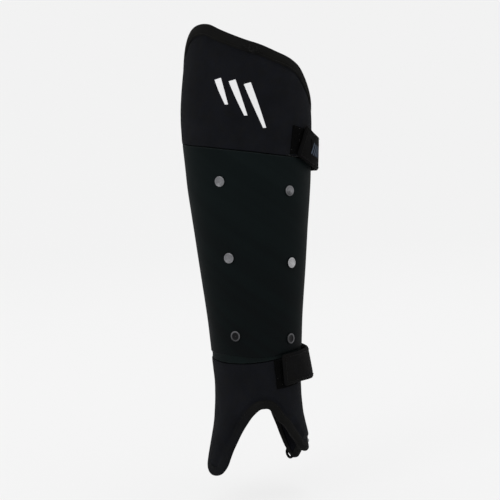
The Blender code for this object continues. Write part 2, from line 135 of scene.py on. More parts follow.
RIVETS = {"top_left": (-33.6, 205.2), "top_right": (31.6, 194.6), "mid_left": (-31.5, 139.0),
          "mid_right": (36.5, 132.0), "low_left": (-32.4, 70.6), "low_right": (38.2, 65.2)}


def spline(xs, ys):
    """A smooth curve through stations, for arrays."""
    xs, ys = np.asarray(xs, float), np.asarray(ys, float)
    m = np.gradient(ys, xs)

    def f(x):
        x = np.clip(np.asarray(x, float), xs[0], xs[-1])
        i = np.clip(np.searchsorted(xs, x) - 1, 0, len(xs) - 2)
        h = xs[i + 1] - xs[i]
        t = (x - xs[i]) / h
        return ((2 * t ** 3 - 3 * t * t + 1) * ys[i] + (t ** 3 - 2 * t * t + t) * h * m[i]
                + (-2 * t ** 3 + 3 * t * t) * ys[i + 1] + (t ** 3 - t * t) * h * m[i + 1])
    return f


def cols(table):
    return [spline([r[0] for r in table], [r[k] for r in table]) for k in range(1, len(table[0]))]


F_A, F_B, F_C = cols(FORM)
top_z, = cols(TOP_EDGE)
rear_phi, = cols(REAR_EDGE)
shell_top, = cols(SHELL_TOP)
lip_foot, = cols(LIP_FOOT)
shell_step, = cols(SHELL_STEP)


def skin(phi, z, off=0.0):
    """Points in metres at angles (degrees), heights and offsets (mm)."""
    phi, z, off = np.broadcast_arrays(np.asarray(phi, float), np.asarray(z, float),
                                      np.asarray(off, float))
    a, b, c = F_A(z), F_B(z), F_C(z)
    s, co = np.sin(np.radians(phi)), np.cos(np.radians(phi))
    nx, ny = b * s, -a * co
    n = np.hypot(nx, ny)
    return np.stack([(a * s + off * nx / n), (c - b * co + off * ny / n), z], -1) * MM


def radius(phi, z):
    return np.hypot(F_A(z) * np.cos(np.radians(phi)), F_B(z) * np.sin(np.radians(phi)))


def arc(phi, z):
    """Distance round the leg from the front line, mm (about)."""
    return np.radians(phi) * (F_A(z) + F_B(z)) / 2


def sst(x, a, b):
    t = np.clip((x - a) / (b - a), 0, 1)
    return t * t * (3 - 2 * t)


def waves(x, y, scale, seed, octaves=3):
    """Smooth, repeatable unevenness about -1..1."""
    r = np.random.default_rng(seed)
    out, amp, tot = 0.0, 1.0, 0.0
    for _ in range(octaves):
        for _ in range(4):
            th, ph = r.uniform(0, 2 * math.pi, 2)
            k = 2 * math.pi / scale * r.uniform(0.7, 1.3)
            out = out + amp * np.sin(k * (x * math.cos(th) + y * math.sin(th)) + ph)
        tot += amp * 2.2
        amp *= 0.5
        scale /= 2.1
    return out / tot


# ------------------------------------------------------------------ materials
def new_mat(name):
    m = bpy.data.materials.new(name)
    m.use_nodes = True
    nt = m.node_tree
    return m, nt, nt.nodes["Principled BSDF"]


def node(nt, kind, **kw):
    n = nt.nodes.new(kind)
    for k, v in kw.items():
        setattr(n, k, v)
    return n


def link(nt, a, b):
    nt.links.new(a, b)


def mix_colour(nt, fac, a, b):
    m = node(nt, "ShaderNodeMix", data_type="RGBA")
    m.inputs[6].default_value = (*a, 1) if not hasattr(a, "links") else (0, 0, 0, 1)
    m.inputs[7].default_value = (*b, 1) if not hasattr(b, "links") else (0, 0, 0, 1)
    if hasattr(a, "links"):
        link(nt, a, m.inputs[6])
    if hasattr(b, "links"):
        link(nt, b, m.inputs[7])
    link(nt, fac, m.inputs[0])
    return m.outputs[2]


def ramp(nt, src, stops):
    r = node(nt, "ShaderNodeMapRange")
    r.inputs[1].default_value, r.inputs[2].default_value = stops[0], stops[1]
    r.inputs[3].default_value, r.inputs[4].default_value = stops[2], stops[3]
    link(nt, src, r.inputs[0])
    return r.outputs[0]


def math_node(nt, op, a, b=None, c=None):
    m = node(nt, "ShaderNodeMath", operation=op)
    for i, v in enumerate((a, b, c)):
        if v is None:
            continue
        if hasattr(v, "links"):
            link(nt, v, m.inputs[i])
        else:
            m.inputs[i].default_value = v
    return m.outputs[0]


def uv_mm(nt):
    """Surface coordinates in millimetres, kept on every piece."""
    u = node(nt, "ShaderNodeUVMap", uv_map="mm")
    s = node(nt, "ShaderNodeSeparateXYZ")
    link(nt, u.outputs[0], s.inputs[0])
    return u.outputs[0], s.outputs[0], s.outputs[1]


def noise(nt, vec, scale, detail=3.0, rough=0.5):
    n = node(nt, "ShaderNodeTexNoise")
    n.inputs["Scale"].default_value = scale
    n.inputs["Detail"].default_value = detail
    n.inputs["Roughness"].default_value = rough
    if vec is not None:
        link(nt, vec, n.inputs["Vector"])
    return n.outputs[0]


def bump(nt, b, heights):
    """Chain of bumps: (height socket, distance in metres, strength)."""
    prev = None
    for h, dist, strength in heights:
        n = node(nt, "ShaderNodeBump")
        n.inputs["Strength"].default_value = strength
        n.inputs["Distance"].default_value = dist
        link(nt, h, n.inputs["Height"])
        if prev is not None:
            link(nt, prev, n.inputs["Normal"])
        prev = n.outputs[0]
    link(nt, prev, b.inputs["Normal"])


def cloth(name, dark, light, rough=0.9, spec=0.12, sheen=0.02, pitch=(0.55, 0.75), kind="knit",
          depth=0.00012, mottle=0.06, sheen_tint=(0.8, 0.85, 1.0), fuzz=0.5, other=None):
    """Knitted or woven cloth, patterned in surface millimetres."""
    m, nt, b = new_mat(name)
    vec, x, y = uv_mm(nt)
    if kind == "knit":          # columns of V-shaped loops
        cx = math_node(nt, "MULTIPLY", x, 2 * math.pi / pitch[0])
        col = math_node(nt, "COSINE", cx)
        tri = math_node(nt, "PINGPONG", math_node(nt, "ADD", x, 500.0), pitch[0] / 2)
        yy = math_node(nt, "MULTIPLY_ADD", tri, -0.9, y)
        row = math_node(nt, "COSINE", math_node(nt, "MULTIPLY", yy, 2 * math.pi / pitch[1]))
        h = math_node(nt, "MULTIPLY_ADD", col, -0.45, math_node(nt, "MULTIPLY", row, 0.55))
    elif kind == "rib":         # ribs along the strap, with fine cross yarns
        rib = math_node(nt, "ABSOLUTE", math_node(nt, "SINE", math_node(
            nt, "MULTIPLY", y, math.pi / pitch[0])))
        cross = math_node(nt, "SINE", math_node(nt, "MULTIPLY", x, 2 * math.pi / pitch[1]))
        h = math_node(nt, "MULTIPLY_ADD", cross, 0.3, rib)
    elif kind == "twill":
        d = math_node(nt, "ADD", x, y)
        a = math_node(nt, "SINE", math_node(nt, "MULTIPLY", d, 2 * math.pi / pitch[0]))
        c = math_node(nt, "SINE", math_node(nt, "MULTIPLY", x, 2 * math.pi / pitch[1]))
        h = math_node(nt, "MULTIPLY_ADD", c, 0.4, a)
    else:                       # napped
        h = noise(nt, vec, 1.6, 4.0, 0.7)
    fibre = noise(nt, vec, 3.1, 2.0, 0.6)
    cloud = noise(nt, vec, 0.045, 4.0, 0.55)
    shade = math_node(nt, "MULTIPLY_ADD", h, 0.22, math_node(nt, "MULTIPLY_ADD", fibre, fuzz,
                                                            0.5 - fuzz / 2))
    shade = math_node(nt, "MULTIPLY_ADD", math_node(nt, "SUBTRACT", cloud, 0.5), mottle * 12, shade)
    fac = ramp(nt, shade, (0.15, 0.95, 0.0, 1.0))
    hue = noise(nt, vec, 0.11, 3.0, 0.6)
    warm = mix_colour(nt, fac, (dark[0] * 1.07, dark[1] * 1.03, dark[2] * 0.92),
                      (light[0] * 1.07, light[1] * 1.03, light[2] * 0.91))
    tone = mix_colour(nt, ramp(nt, hue, (0.42, 0.66, 0.0, 1.0)), mix_colour(nt, fac, dark, light), warm)
    if other:
        at = node(nt, "ShaderNodeAttribute", attribute_name="edge", attribute_type="GEOMETRY")
        tone = mix_colour(nt, at.outputs[2], tone, mix_colour(nt, fac, *other))
    link(nt, tone, b.inputs["Base Color"])
    link(nt, ramp(nt, fibre, (0.3, 0.7, rough - 0.06, min(rough + 0.06, 1.0))), b.inputs["Roughness"])
    b.inputs["Specular IOR Level"].default_value = spec
    b.inputs["Sheen Weight"].default_value = sheen
    b.inputs["Sheen Roughness"].default_value = 0.45
    b.inputs["Sheen Tint"].default_value = (*sheen_tint, 1)
    bump(nt, b, [(h, depth, 0.8), (fibre, depth * 0.7, 0.5)])
    return m


def plastic(name, base, scuff_and_highlight, rough=0.42, spec=0.35):
    """Moulded plastic: fine leather-like grain, faint flow marks, edges lightened as rubbed wear and painted highlight.
    """
    m, nt, b = new_mat(name)
    vec, x, y = uv_mm(nt)
    grain = node(nt, "ShaderNodeTexVoronoi", feature="SMOOTH_F1")
    grain.inputs["Scale"].default_value = 1.5
    link(nt, vec, grain.inputs["Vector"])
    flow = noise(nt, vec, 0.03, 4.0, 0.6)
    speck = noise(nt, vec, 2.4, 2.0, 0.6)
    edge = node(nt, "ShaderNodeAttribute", attribute_name="edge", attribute_type="GEOMETRY")
    # lighter rim colour along the edges: partly rubbed wear, partly a painted highlight where the rounded edge catches
    # light
    rub_and_highlight = math_node(nt, "MULTIPLY", edge.outputs[2], ramp(nt, noise(nt, vec, 0.35, 4.0, 0.7), (0.35, 0.65, 0.25, 1.0)))
    tall = ramp(nt, y, (55.0, 215.0, 0.0, 1.0))
    cool = mix_colour(nt, tall, (base[0] * 0.93, base[1] * 0.70, base[2] * 0.74), base)
    pale = mix_colour(nt, tall, tuple(c * 0.95 for c in base), tuple(c * 1.28 for c in base))
    across = node(nt, "ShaderNodeCombineXYZ")       # faint slanting bands
    link(nt, math_node(nt, "MULTIPLY_ADD", x, 0.68, y), across.inputs[0])
    band = ramp(nt, noise(nt, across.outputs[0], 0.052, 1.5, 0.5), (0.44, 0.56, 0.0, 1.0))
    drift = math_node(nt, "MULTIPLY_ADD", band, 0.5, math_node(nt, "MULTIPLY", ramp(
        nt, flow, (0.35, 0.7, 0.0, 1.0)), 0.5))
    tone = mix_colour(nt, drift, cool, pale)
    tone = mix_colour(nt, ramp(nt, speck, (0.62, 0.8, 0.0, 0.35)), tone, tuple(c * 1.9 for c in base))
    link(nt, mix_colour(nt, rub_and_highlight, tone, scuff_and_highlight), b.inputs["Base Color"])
    link(nt, ramp(nt, math_node(nt, "MULTIPLY_ADD", speck, 0.4, flow), (0.4, 0.95, rough - 0.06, rough + 0.1)),
         b.inputs["Roughness"])
    b.inputs["Specular IOR Level"].default_value = spec
    bump(nt, b, [(grain.outputs[0], 0.00008, 0.35), (speck, 0.00004, 0.3)])
    return m


def metal(name, colour, rough):
    m, nt, b = new_mat(name)
    vec, x, y = uv_mm(nt)
    tc = node(nt, "ShaderNodeTexCoord")
    n1 = noise(nt, tc.outputs["Object"], 900, 3.0, 0.6)
    n2 = noise(nt, tc.outputs["Object"], 180, 4.0, 0.7)
    lines = math_node(nt, "SINE", math_node(nt, "MULTIPLY", y, 2 * math.pi / 0.16))
    # the edge attribute darkens the metal: painted shade and reflection on the caps, with some tarnish
    shade_and_dirt = node(nt, "ShaderNodeAttribute", attribute_name="edge", attribute_type="GEOMETRY")
    tone = mix_colour(nt, ramp(nt, n2, (0.4, 0.75, 0.0, 1.0)), colour, tuple(c * 0.62 for c in colour))
    link(nt, mix_colour(nt, shade_and_dirt.outputs[2], tone, tuple(c * 0.07 for c in colour)), b.inputs["Base Color"])
    b.inputs["Metallic"].default_value = 1.0
    link(nt, ramp(nt, n1, (0.3, 0.7, rough - 0.07, rough + 0.12)), b.inputs["Roughness"])
    bump(nt, b, [(lines, 0.000015, 0.35), (n1, 0.00002, 0.3)])
    return m


def print_film(name, colour):
    m, nt, b = new_mat(name)
    vec, x, y = uv_mm(nt)
    n = noise(nt, vec, 1.2, 4.0, 0.6)
    tone = mix_colour(nt, ramp(nt, n, (0.3, 0.75, 0.0, 1.0)), colour, tuple(c * 0.93 for c in colour))
    link(nt, tone, b.inputs["Base Color"])
    link(nt, ramp(nt, n, (0.3, 0.7, 0.45, 0.6)), b.inputs["Roughness"])
    b.inputs["Specular IOR Level"].default_value = 0.3
    bump(nt, b, [(n, 0.00006, 0.4)])
    return m


M = {
    "neoprene": cloth("neoprene_jersey", (0.0037, 0.0040, 0.0049), (0.0094, 0.0102, 0.0137), rough=0.85,
                      spec=0.035, sheen=0.0),
    "inner": cloth("neoprene_inside", (0.0020, 0.0021, 0.0029), (0.0050, 0.0053, 0.0073), rough=0.95,
                   spec=0.02, sheen=0.0, kind="nap", depth=0.00018),
    "lining": cloth("lining_brushed", (0.0040, 0.0041, 0.0048), (0.0105, 0.0108, 0.0125), rough=0.97,
                    spec=0.03, sheen=0.004, kind="nap", depth=0.0002, pitch=(0.9, 0.9)),
    "tape": cloth("binding_knit", (0.0036, 0.0036, 0.0036), (0.0092, 0.0092, 0.0092), rough=0.85,
                  spec=0.05, sheen=0.0, kind="twill", pitch=(0.7, 0.9), depth=0.0001),
    "hem": cloth("hem_tape", (0.0035, 0.0038, 0.0046), (0.0090, 0.0097, 0.0118), rough=0.85, spec=0.04, sheen=0.0,
                 kind="twill", pitch=(0.7, 0.9), depth=0.0001, other=((0.0038, 0.0038, 0.0037), (0.0098, 0.0097, 0.0094))),
    "elastic": cloth("strap_weave", (0.0018, 0.0018, 0.0019), (0.0056, 0.0056, 0.0060), rough=0.8,
                     spec=0.03, sheen=0.0, kind="rib", pitch=(1.1, 0.8), depth=0.00016),
    # a darker copy of the strap weave, used for the calf strap
    "elastic_worn": cloth("calf_strap_weave", (0.0011, 0.0011, 0.0012), (0.0034, 0.0034, 0.0037), rough=0.8,
                     spec=0.03, sheen=0.0, kind="rib", pitch=(1.1, 0.8), depth=0.00016),
    "loop": cloth("loop_nap", (0.0009, 0.0009, 0.0010), (0.0030, 0.0031, 0.0033), rough=0.98,
                  spec=0.02, sheen=0.0, kind="nap", depth=0.0003, fuzz=0.8),
    "hook": cloth("hook_tape", (0.004, 0.004, 0.0042), (0.011, 0.011, 0.0115), rough=0.6,
                  spec=0.2, sheen=0.0, kind="rib", pitch=(1.6, 1.6), depth=0.0004),
    "thread": cloth("thread_black", (0.0050, 0.0050, 0.0054), (0.0115, 0.0115, 0.012), rough=0.6,
                    spec=0.10, sheen=0.0, kind="twill", pitch=(0.35, 0.5), depth=0.00006),
    "fuzz": cloth("loop_fibres", (0.0016, 0.0016, 0.0018), (0.0060, 0.0060, 0.0064), rough=0.8,
                  spec=0.08, sheen=0.0, kind="nap"),
    "lint": cloth("lint", (0.05, 0.05, 0.05), (0.13, 0.13, 0.13), rough=0.9, spec=0.05, kind="nap", sheen=0.0),
    "foam": cloth("foam_cells", (0.03, 0.03, 0.033), (0.07, 0.07, 0.075), rough=0.95, spec=0.1, kind="nap",
                  depth=0.0003, sheen=0.0),
    "label": cloth("woven_bars", (0.026, 0.036, 0.055), (0.085, 0.110, 0.155), rough=0.7, spec=0.1, kind="twill",
                   pitch=(0.8, 0.7), depth=0.00012, sheen=0.0),
    # second colour of shell and lip: the lighter rim, rubbed wear with a painted highlight
    "shell": plastic("shell_moulded", (0.0037, 0.0057, 0.0059), (0.016, 0.019, 0.019), rough=0.6, spec=0.02),
    "lip": plastic("shell_lip", (0.0050, 0.0086, 0.0084), (0.014, 0.018, 0.018), rough=0.65, spec=0.02),
    # brighter and darker copies of one nickel: painted highlight and painted shade for caps that catch more or less
    # light; the darker copy is also rougher
    "nickel": metal("rivet_nickel", (0.20, 0.20, 0.21), 0.34),
    "nickel_bright": metal("rivet_nickel_bright", (0.36, 0.36, 0.37), 0.3),
    "nickel_dull": metal("rivet_nickel_dull_shaded", (0.16, 0.16, 0.17), 0.42),
    "steel": metal("washer_steel", (0.40, 0.40, 0.40), 0.4),
    "print": print_film("print_white", (0.80, 0.80, 0.81)),
}


# ------------------------------------------------------------------ mesh building
def build(name, verts, faces, uvs, mats, mat_ids=None, edge=None, smooth=True, sharp=None):
    """A mesh object from arrays; uvs are per vertex, in mm."""
    me = bpy.data.meshes.new(name)
    verts = np.asarray(verts, float).reshape(-1, 3)
    me.from_pydata(verts.tolist(), [], [tuple(int(i) for i in f) for f in faces])
    me.update()
    lay = me.uv_layers.new(name="mm")
    idx = np.zeros(len(me.loops), np.int32)
    me.loops.foreach_get("vertex_index", idx)
    uvs = np.asarray(uvs, float).reshape(-1, 2)
    lay.data.foreach_set("uv", uvs[idx].astype(np.float32).ravel())
    if edge is not None:
        at = me.attributes.new("edge", "FLOAT", "POINT")
        at.data.foreach_set("value", np.asarray(edge, np.float32).ravel())
    for m in (mats if isinstance(mats, (list, tuple)) else [mats]):
        me.materials.append(M[m])
    if mat_ids is not None:
        me.polygons.foreach_set("material_index", np.asarray(mat_ids, np.int32))
    bm = bmesh.new()
    bm.from_mesh(me)
    bmesh.ops.recalc_face_normals(bm, faces=bm.faces[:])
    if bm.calc_volume(signed=True) < 0:
        bmesh.ops.reverse_faces(bm, faces=bm.faces[:])
    bm.to_mesh(me)
    bm.free()
    if smooth:
        me.shade_smooth()
        if sharp:
            me.set_sharp_from_angle(angle=math.radians(sharp))
    ob = bpy.data.objects.new(name, me)
    bpy.context.scene.collection.objects.link(ob)
    return ob


def sheet_mesh(name, phi, z, out, inn, mats, ids=None, edge=None, sharp=None):
    """A closed cloth or plate: grids of angle, height and the two offsets.
    ids(kind) gives the material of outer (0), inner (1) and rim (2) faces."""
    r, c = phi.shape
    po, pi = skin(phi, z, out), skin(phi, z, inn)
    s = arc(phi, z)
    verts = np.concatenate([po.reshape(-1, 3), pi.reshape(-1, 3)])
    uv = np.concatenate([np.stack([s, z], -1).reshape(-1, 2)] * 2)
    k = r * c
    i, j = np.meshgrid(np.arange(r - 1), np.arange(c - 1), indexing="ij")
    a = (i * c + j).ravel()
    quads = np.stack([a, a + 1, a + c + 1, a + c], -1)
    faces = [tuple(q) for q in quads] + [tuple(q[::-1] + k) for q in quads]
    kinds = [0] * len(quads) + [1] * len(quads)
    rim = (list(range(c)) + [n * c + c - 1 for n in range(1, r)]
           + [(r - 1) * c + n for n in range(c - 2, -1, -1)] + [n * c for n in range(r - 2, 0, -1)])
    for n, v in enumerate(rim):
        w = rim[(n + 1) % len(rim)]
        faces.append((w, v, k + v, k + w))
        kinds.append(2)
    mat_ids = None
    if ids is not None:
        mat_ids = [ids[t] for t in kinds]
    e = None if edge is None else np.concatenate([edge.ravel(), edge.ravel()])
    return build(name, verts, faces, uv, mats, mat_ids, e, sharp=sharp)


def sweep_mesh(name, rings, uvs, mats, edge=None, sharp=None):
    """A closed bar: rings (n, m, 3) of points, capped at both ends with fans."""
    n, m, _ = rings.shape
    verts = rings.reshape(-1, 3)
    uv = uvs.reshape(-1, 2)
    faces = []
    for i in range(n - 1):
        for j in range(m):
            a, b = i * m + j, i * m + (j + 1) % m
            faces.append((a, b, b + m, a + m))
    c0, c1 = len(verts), len(verts) + 1
    verts = np.concatenate([verts, [rings[0].mean(0)], [rings[-1].mean(0)]])
    uv = np.concatenate([uv, [uvs[0].mean(0)], [uvs[-1].mean(0)]])
    for j in range(m):
        faces.append((c0, (j + 1) % m, j))
        faces.append((c1, (n - 1) * m + j, (n - 1) * m + (j + 1) % m))
    if edge is not None:
        edge = np.concatenate([edge.ravel(), [0, 0]])
    return build(name, verts, faces, uv, mats, edge=edge, sharp=sharp)


def poly_sample(points, step):
    """Smooth curve through (angle, height) stations, sampled about every step mm."""
    p = np.asarray(points, float)
    d = np.hypot(np.radians(np.diff(p[:, 0])) * 44, np.diff(p[:, 1]))
    t = np.concatenate([[0], np.cumsum(d)])
    fx, fy = spline(t, p[:, 0]), spline(t, p[:, 1])
    q = np.linspace(0, t[-1], max(3, int(round(t[-1] / step)) + 1))
    return fx(q), fy(q)


def directions(phi, z):
    """Unit travel direction of a surface path in (round, up)."""
    ds = np.radians(np.gradient(phi)) * radius(phi, z)
    dz = np.gradient(z)
    n = np.hypot(ds, dz)
    return ds / n, dz / n


def dist_to(phi, z, pphi, pz):
    """Distance in mm from each surface point to a path (brute force, in chunks)."""
    r = radius(phi, z)
    best = np.full(phi.shape, 1e9)
    for a, b in zip(pphi, pz):
        d = np.hypot(np.radians(phi - a) * r, z - b)
        best = np.minimum(best, d)
    return best


def stitches(name, phi, z, off, pitch=2.9, length=2.3, r=0.24, mat="thread", sag=0.18):
    """Thread along a surface path: one little arched bar for each stitch."""
    ds = np.hypot(np.radians(np.diff(phi)) * radius(phi[:-1], z[:-1]), np.diff(z))
    t = np.concatenate([[0], np.cumsum(ds)])
    off = np.broadcast_to(off, phi.shape)
    verts, faces, uv = [], [], []
    n_st = max(1, int(t[-1] // pitch))
    for k in range(n_st):
        c = (k + 0.5) * t[-1] / n_st
        q = c + np.linspace(-length / 2, length / 2, 6)
        pp, zz, oo = np.interp(q, t, phi), np.interp(q, t, z), np.interp(q, t, off)
        h = np.array([-0.5, 0.6, 1.0, 1.0, 0.6, -0.5]) * sag
        rr = r * np.array([0.45, 0.95, 1.0, 1.0, 0.95, 0.45])
        cen = skin(pp, zz, oo + h)
        tan = np.gradient(cen, axis=0)
        tan /= np.linalg.norm(tan, axis=1, keepdims=True)
        nrm = skin(pp, zz, oo + h + 1) - cen
        nrm /= np.linalg.norm(nrm, axis=1, keepdims=True)
        sid = np.cross(tan, nrm)
        base = len(verts)
        for i in range(6):
            for m in range(6):
                a = 2 * math.pi * m / 6
                verts.append(cen[i] + (nrm[i] * math.cos(a) + sid[i] * math.sin(a)) * rr[i] * MM)
                uv.append((q[i], m * 0.25))
        for i in range(5):
            for m in range(6):
                a, b = base + i * 6 + m, base + i * 6 + (m + 1) % 6
                faces.append((a, b, b + 6, a + 6))
        faces.append(tuple(base + m for m in range(6))[::-1])
        faces.append(tuple(base + 30 + m for m in range(6)))
    return build(name, verts, faces, uv, mat)


# ------------------------------------------------------------------ the sleeve
def shell_inside(phi, z, corners=False):
    """Distance in mm inside the shell's outline (negative outside)."""
    u = phi / np.maximum(rear_phi(z), 1)
    w = radius(phi, z)
    side = np.minimum(u - SHELL_L, SHELL_R - u) * np.radians(rear_phi(z)) * w
    top = shell_top(phi) - z
    foot = z - lip_foot(phi)
    r = 13.0
    d = np.minimum(side, np.minimum(top, foot))
    # rounded corners
    cx, cy = r - side, r - np.minimum(top, foot)
    corner = (cx > 0) & (cy > 0)
    d = np.where(corner, r - np.hypot(np.maximum(cx, 0), np.maximum(cy, 0)), d)
    return (d, sst(np.minimum(cx, cy), 0, 3)) if corners else d


CREASES = [  # soft folds: angle0, height0, angle1, height1, width, depth (mm)
    (-33, 0, -73, -55, 5.2, -2.8), (-52, -2, -92, -44, 7.0, 0.8), (-24, -12, -58, -52, 3.0, 0.5), (-100, 30, -70, 2, 6.0, -0.35),
    (60, 12, 96, -20, 6.0, -0.4), (64, 22, 80, 4, 5.0, -0.35), (4, 40, 30, 14, 8.0, -0.22),
    (-60, 300, -84, 262, 9.0, -0.25), (66, 268, 40, 262, 7.0, -0.25), (88, 214, 60, 206, 5, -0.2),
    (-18, 28, -52, 12, 8.0, -0.25), (100, 6, 140, -30, 6, -0.5), (-105, -10, -130, 14, 6, -0.4),
]


def relief(phi, z):
    """The soft surface's unevenness in mm, shared by every part of the sleeve."""
    s = arc(phi, z)
    h = 0.16 * waves(s, z, 46, 3) + 0.05 * waves(s, z, 13, 5, 2)
    for p0, z0, p1, z1, w, dep in CREASES:
        r = 48.0
        ax, ay = np.radians(p0) * r, z0
        bx, by = np.radians(p1) * r, z1
        x, y = np.radians(phi) * r, z
        t = np.clip(((x - ax) * (bx - ax) + (y - ay) * (by - ay))
                    / ((bx - ax) ** 2 + (by - ay) ** 2), 0, 1)
        d = np.hypot(x - ax - t * (bx - ax), y - ay - t * (by - ay))
        h = h + dep * np.exp(-(d / w) ** 2) * np.sin(np.pi * np.clip(t * 0.9 + 0.05, 0, 1)) ** 0.6
    return h


def directions_of(path):
    return (path[0], path[1], *directions(*path))


LOW_P = directions_of(poly_sample([(-151.5, Z_SPLIT), (-152.6, 4)] + LEFT_OUT + RIGHT_OUT[1:]
                                  + [(154.3, -2), (151.5, Z_SPLIT)], 0.6))
MID = int(np.argmin(np.abs(LOW_P[0] + 1) + (LOW_P[1] < 0) * 99))
LEFT_P = [v[:MID + 1] for v in LOW_P]
RIGHT_P = [v[MID:] for v in LOW_P]
TOP_P = poly_sample(TOP_EDGE, 0.9)


def edge_distance(phi, z):
    """Distance in mm to the sleeve's nearest cut edge."""
    d = np.full(phi.shape, 1e9)
    lo = z < 60
    for P in (LEFT_P, RIGHT_P):
        if lo.any():
            d[lo] = np.minimum(d[lo], dist_to(phi[lo], z[lo], P[0][::2], P[1][::2]))
    hi = z > 225
    if hi.any():
        d[hi] = np.minimum(d[hi], dist_to(phi[hi], z[hi], TOP_P[0][::2], TOP_P[1][::2]))
    side = (rear_phi(z) - np.abs(phi)) * np.radians(1) * radius(phi, z)
    return np.minimum(d, np.where(z > 2, np.maximum(side, 0), 1e9))


def tuck(phi, z):
    """Where the soft edges draw in from the form, mm."""
    return (-3.6 * sst(-z, 26, 48) * sst(phi, 48, 88) - 1.0 * sst(z, 258, 312) * sst(-phi, 42, 80))


def firm(phi, z):
    """1 where the hem grips hard, less down the left leg, where it is turned in softly."""
    return 1 - 0.8 * sst(-z, -8, 10) * sst(-phi, 12, 30)


def groove_at(z):
    return 7.6 + 2.0 * sst(z, 225, 260)


def sleeve_offsets(phi, z):
    d, rounded = shell_inside(phi, z, True)
    g = firm(phi, z)
    e = edge_distance(phi, z)
    out = -3.0 * sst(d / (1 + 1.3 * rounded), -0.95, 0.05) + 0.12 * np.exp(-((d + 4.0) / 2.4) ** 2)
    soft = 1 - sst(d, -3, 0)
    out = out + relief(phi, z) * soft * sst(e, 0, 9) + tuck(phi, z)
    at = groove_at(z)
    pinch = 1 - sst(e, at - 3.1, at + 1.9)
    out = out - 0.75 * g * pinch - 0.85 * g * np.exp(-((e - at) / 1.6) ** 2) * soft
    side = sst(phi, 14, 30) * (1 - sst(phi, 62, 84)) * sst(-z, -6, 6)
    out = out - 1.5 * side * np.exp(-((e - 9.6) / 2.6) ** 2)
    # thinner under the shell and where the edge is pinched
    th = SLEEVE_T - 0.7 * sst(d, -1.0, 0) - 1.3 * pinch
    # rounded rim
    rr = 1.5
    k = np.sqrt(np.clip(1 - np.clip(1 - e / rr, 0, 1) ** 2, 0.0, 1))
    mid = out - th / 2
    return mid + th / 2 * np.maximum(k, 0.08), mid - th / 2 * np.maximum(k, 0.08)


def sleeve_body():
    u = np.concatenate([np.linspace(-1, -0.90, 22, endpoint=False), np.linspace(-0.90, -0.87, 14, endpoint=False),
                        np.linspace(-0.87, 0.745, 190, endpoint=False), np.linspace(0.745, 0.775, 14, endpoint=False),
                        np.linspace(0.775, 1, 36)])
    lines = []
    p0 = np.clip(u * 117, -104, 90)
    t0, t1, t4 = top_z(u * 116), shell_top(p0) + 1.1, lip_foot(u * 128)
    t1 = np.minimum(t1, t0 - 6)
    for a, b, n in ((t0, t1, 84), (t1, t1 - 1.7, 8), (t1 - 1.7, t4 + 0.6, 130), (t4 + 0.6, t4 - 1.1, 8),
                    (t4 - 1.1, t4 * 0 + Z_SPLIT, 44)):
        for k in range(n):
            lines.append(a + (b - a) * k / n)
    lines.append(np.full(u.shape, Z_SPLIT))
    z = np.array(lines)
    phi = u[None, :] * rear_phi(z)
    out, inn = sleeve_offsets(phi, z)
    ob = sheet_mesh("sleeve_body", phi, z, out, inn, ["neoprene", "inner"], ids=(0, 1, 1), sharp=55)
    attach(ob, "root")
    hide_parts("neoprene_sleeve")
    return ob


def leg_skin(name, path, body, nodename, front_first):
    """One leg with the ankle strip above it, down from the split line."""
    phi_b, z_b = path[:2]
    keep = z_b < Z_SPLIT - 0.01
    # columns above the outline; the rear edge itself is the side of the grid
    rows = 64
    v = np.linspace(0, 1, rows)[:, None]
    order = np.argsort(phi_b[keep])
    pb, zb = phi_b[keep][order], z_b[keep][order]
    # keep strictly rising columns
    ok = np.concatenate([[True], np.diff(pb) > 0.02])
    pb, zb = pb[ok], zb[ok]
    top_phi = np.interp(pb, [pb[0], pb[-1]],
                        [-151.4, LOW_P[0][MID]] if body == "left_ankle_leg" else [LOW_P[0][MID], 151.4])
    blendw = np.clip((zb + 40) / 60, 0, 1)[None, :] * 0
    phi = top_phi[None, :] * (1 - v) ** 2 + pb[None, :] * (1 - (1 - v) ** 2) + blendw
    z = Z_SPLIT * (1 - v) + zb[None, :] * v
    out, inn = sleeve_offsets(phi, z)
    ob = sheet_mesh(name, phi, z, out, inn, ["neoprene", "inner"], ids=(0, 1, 1), sharp=55)
    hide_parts(nodename)
    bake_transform(ob)
    return ob


sleeve_body()
leg_skin("left_leg_skin", LEFT_P, "left_ankle_leg", "left_leg", False)
leg_skin("right_leg_skin", RIGHT_P, "right_ankle_leg", "right_leg", True)


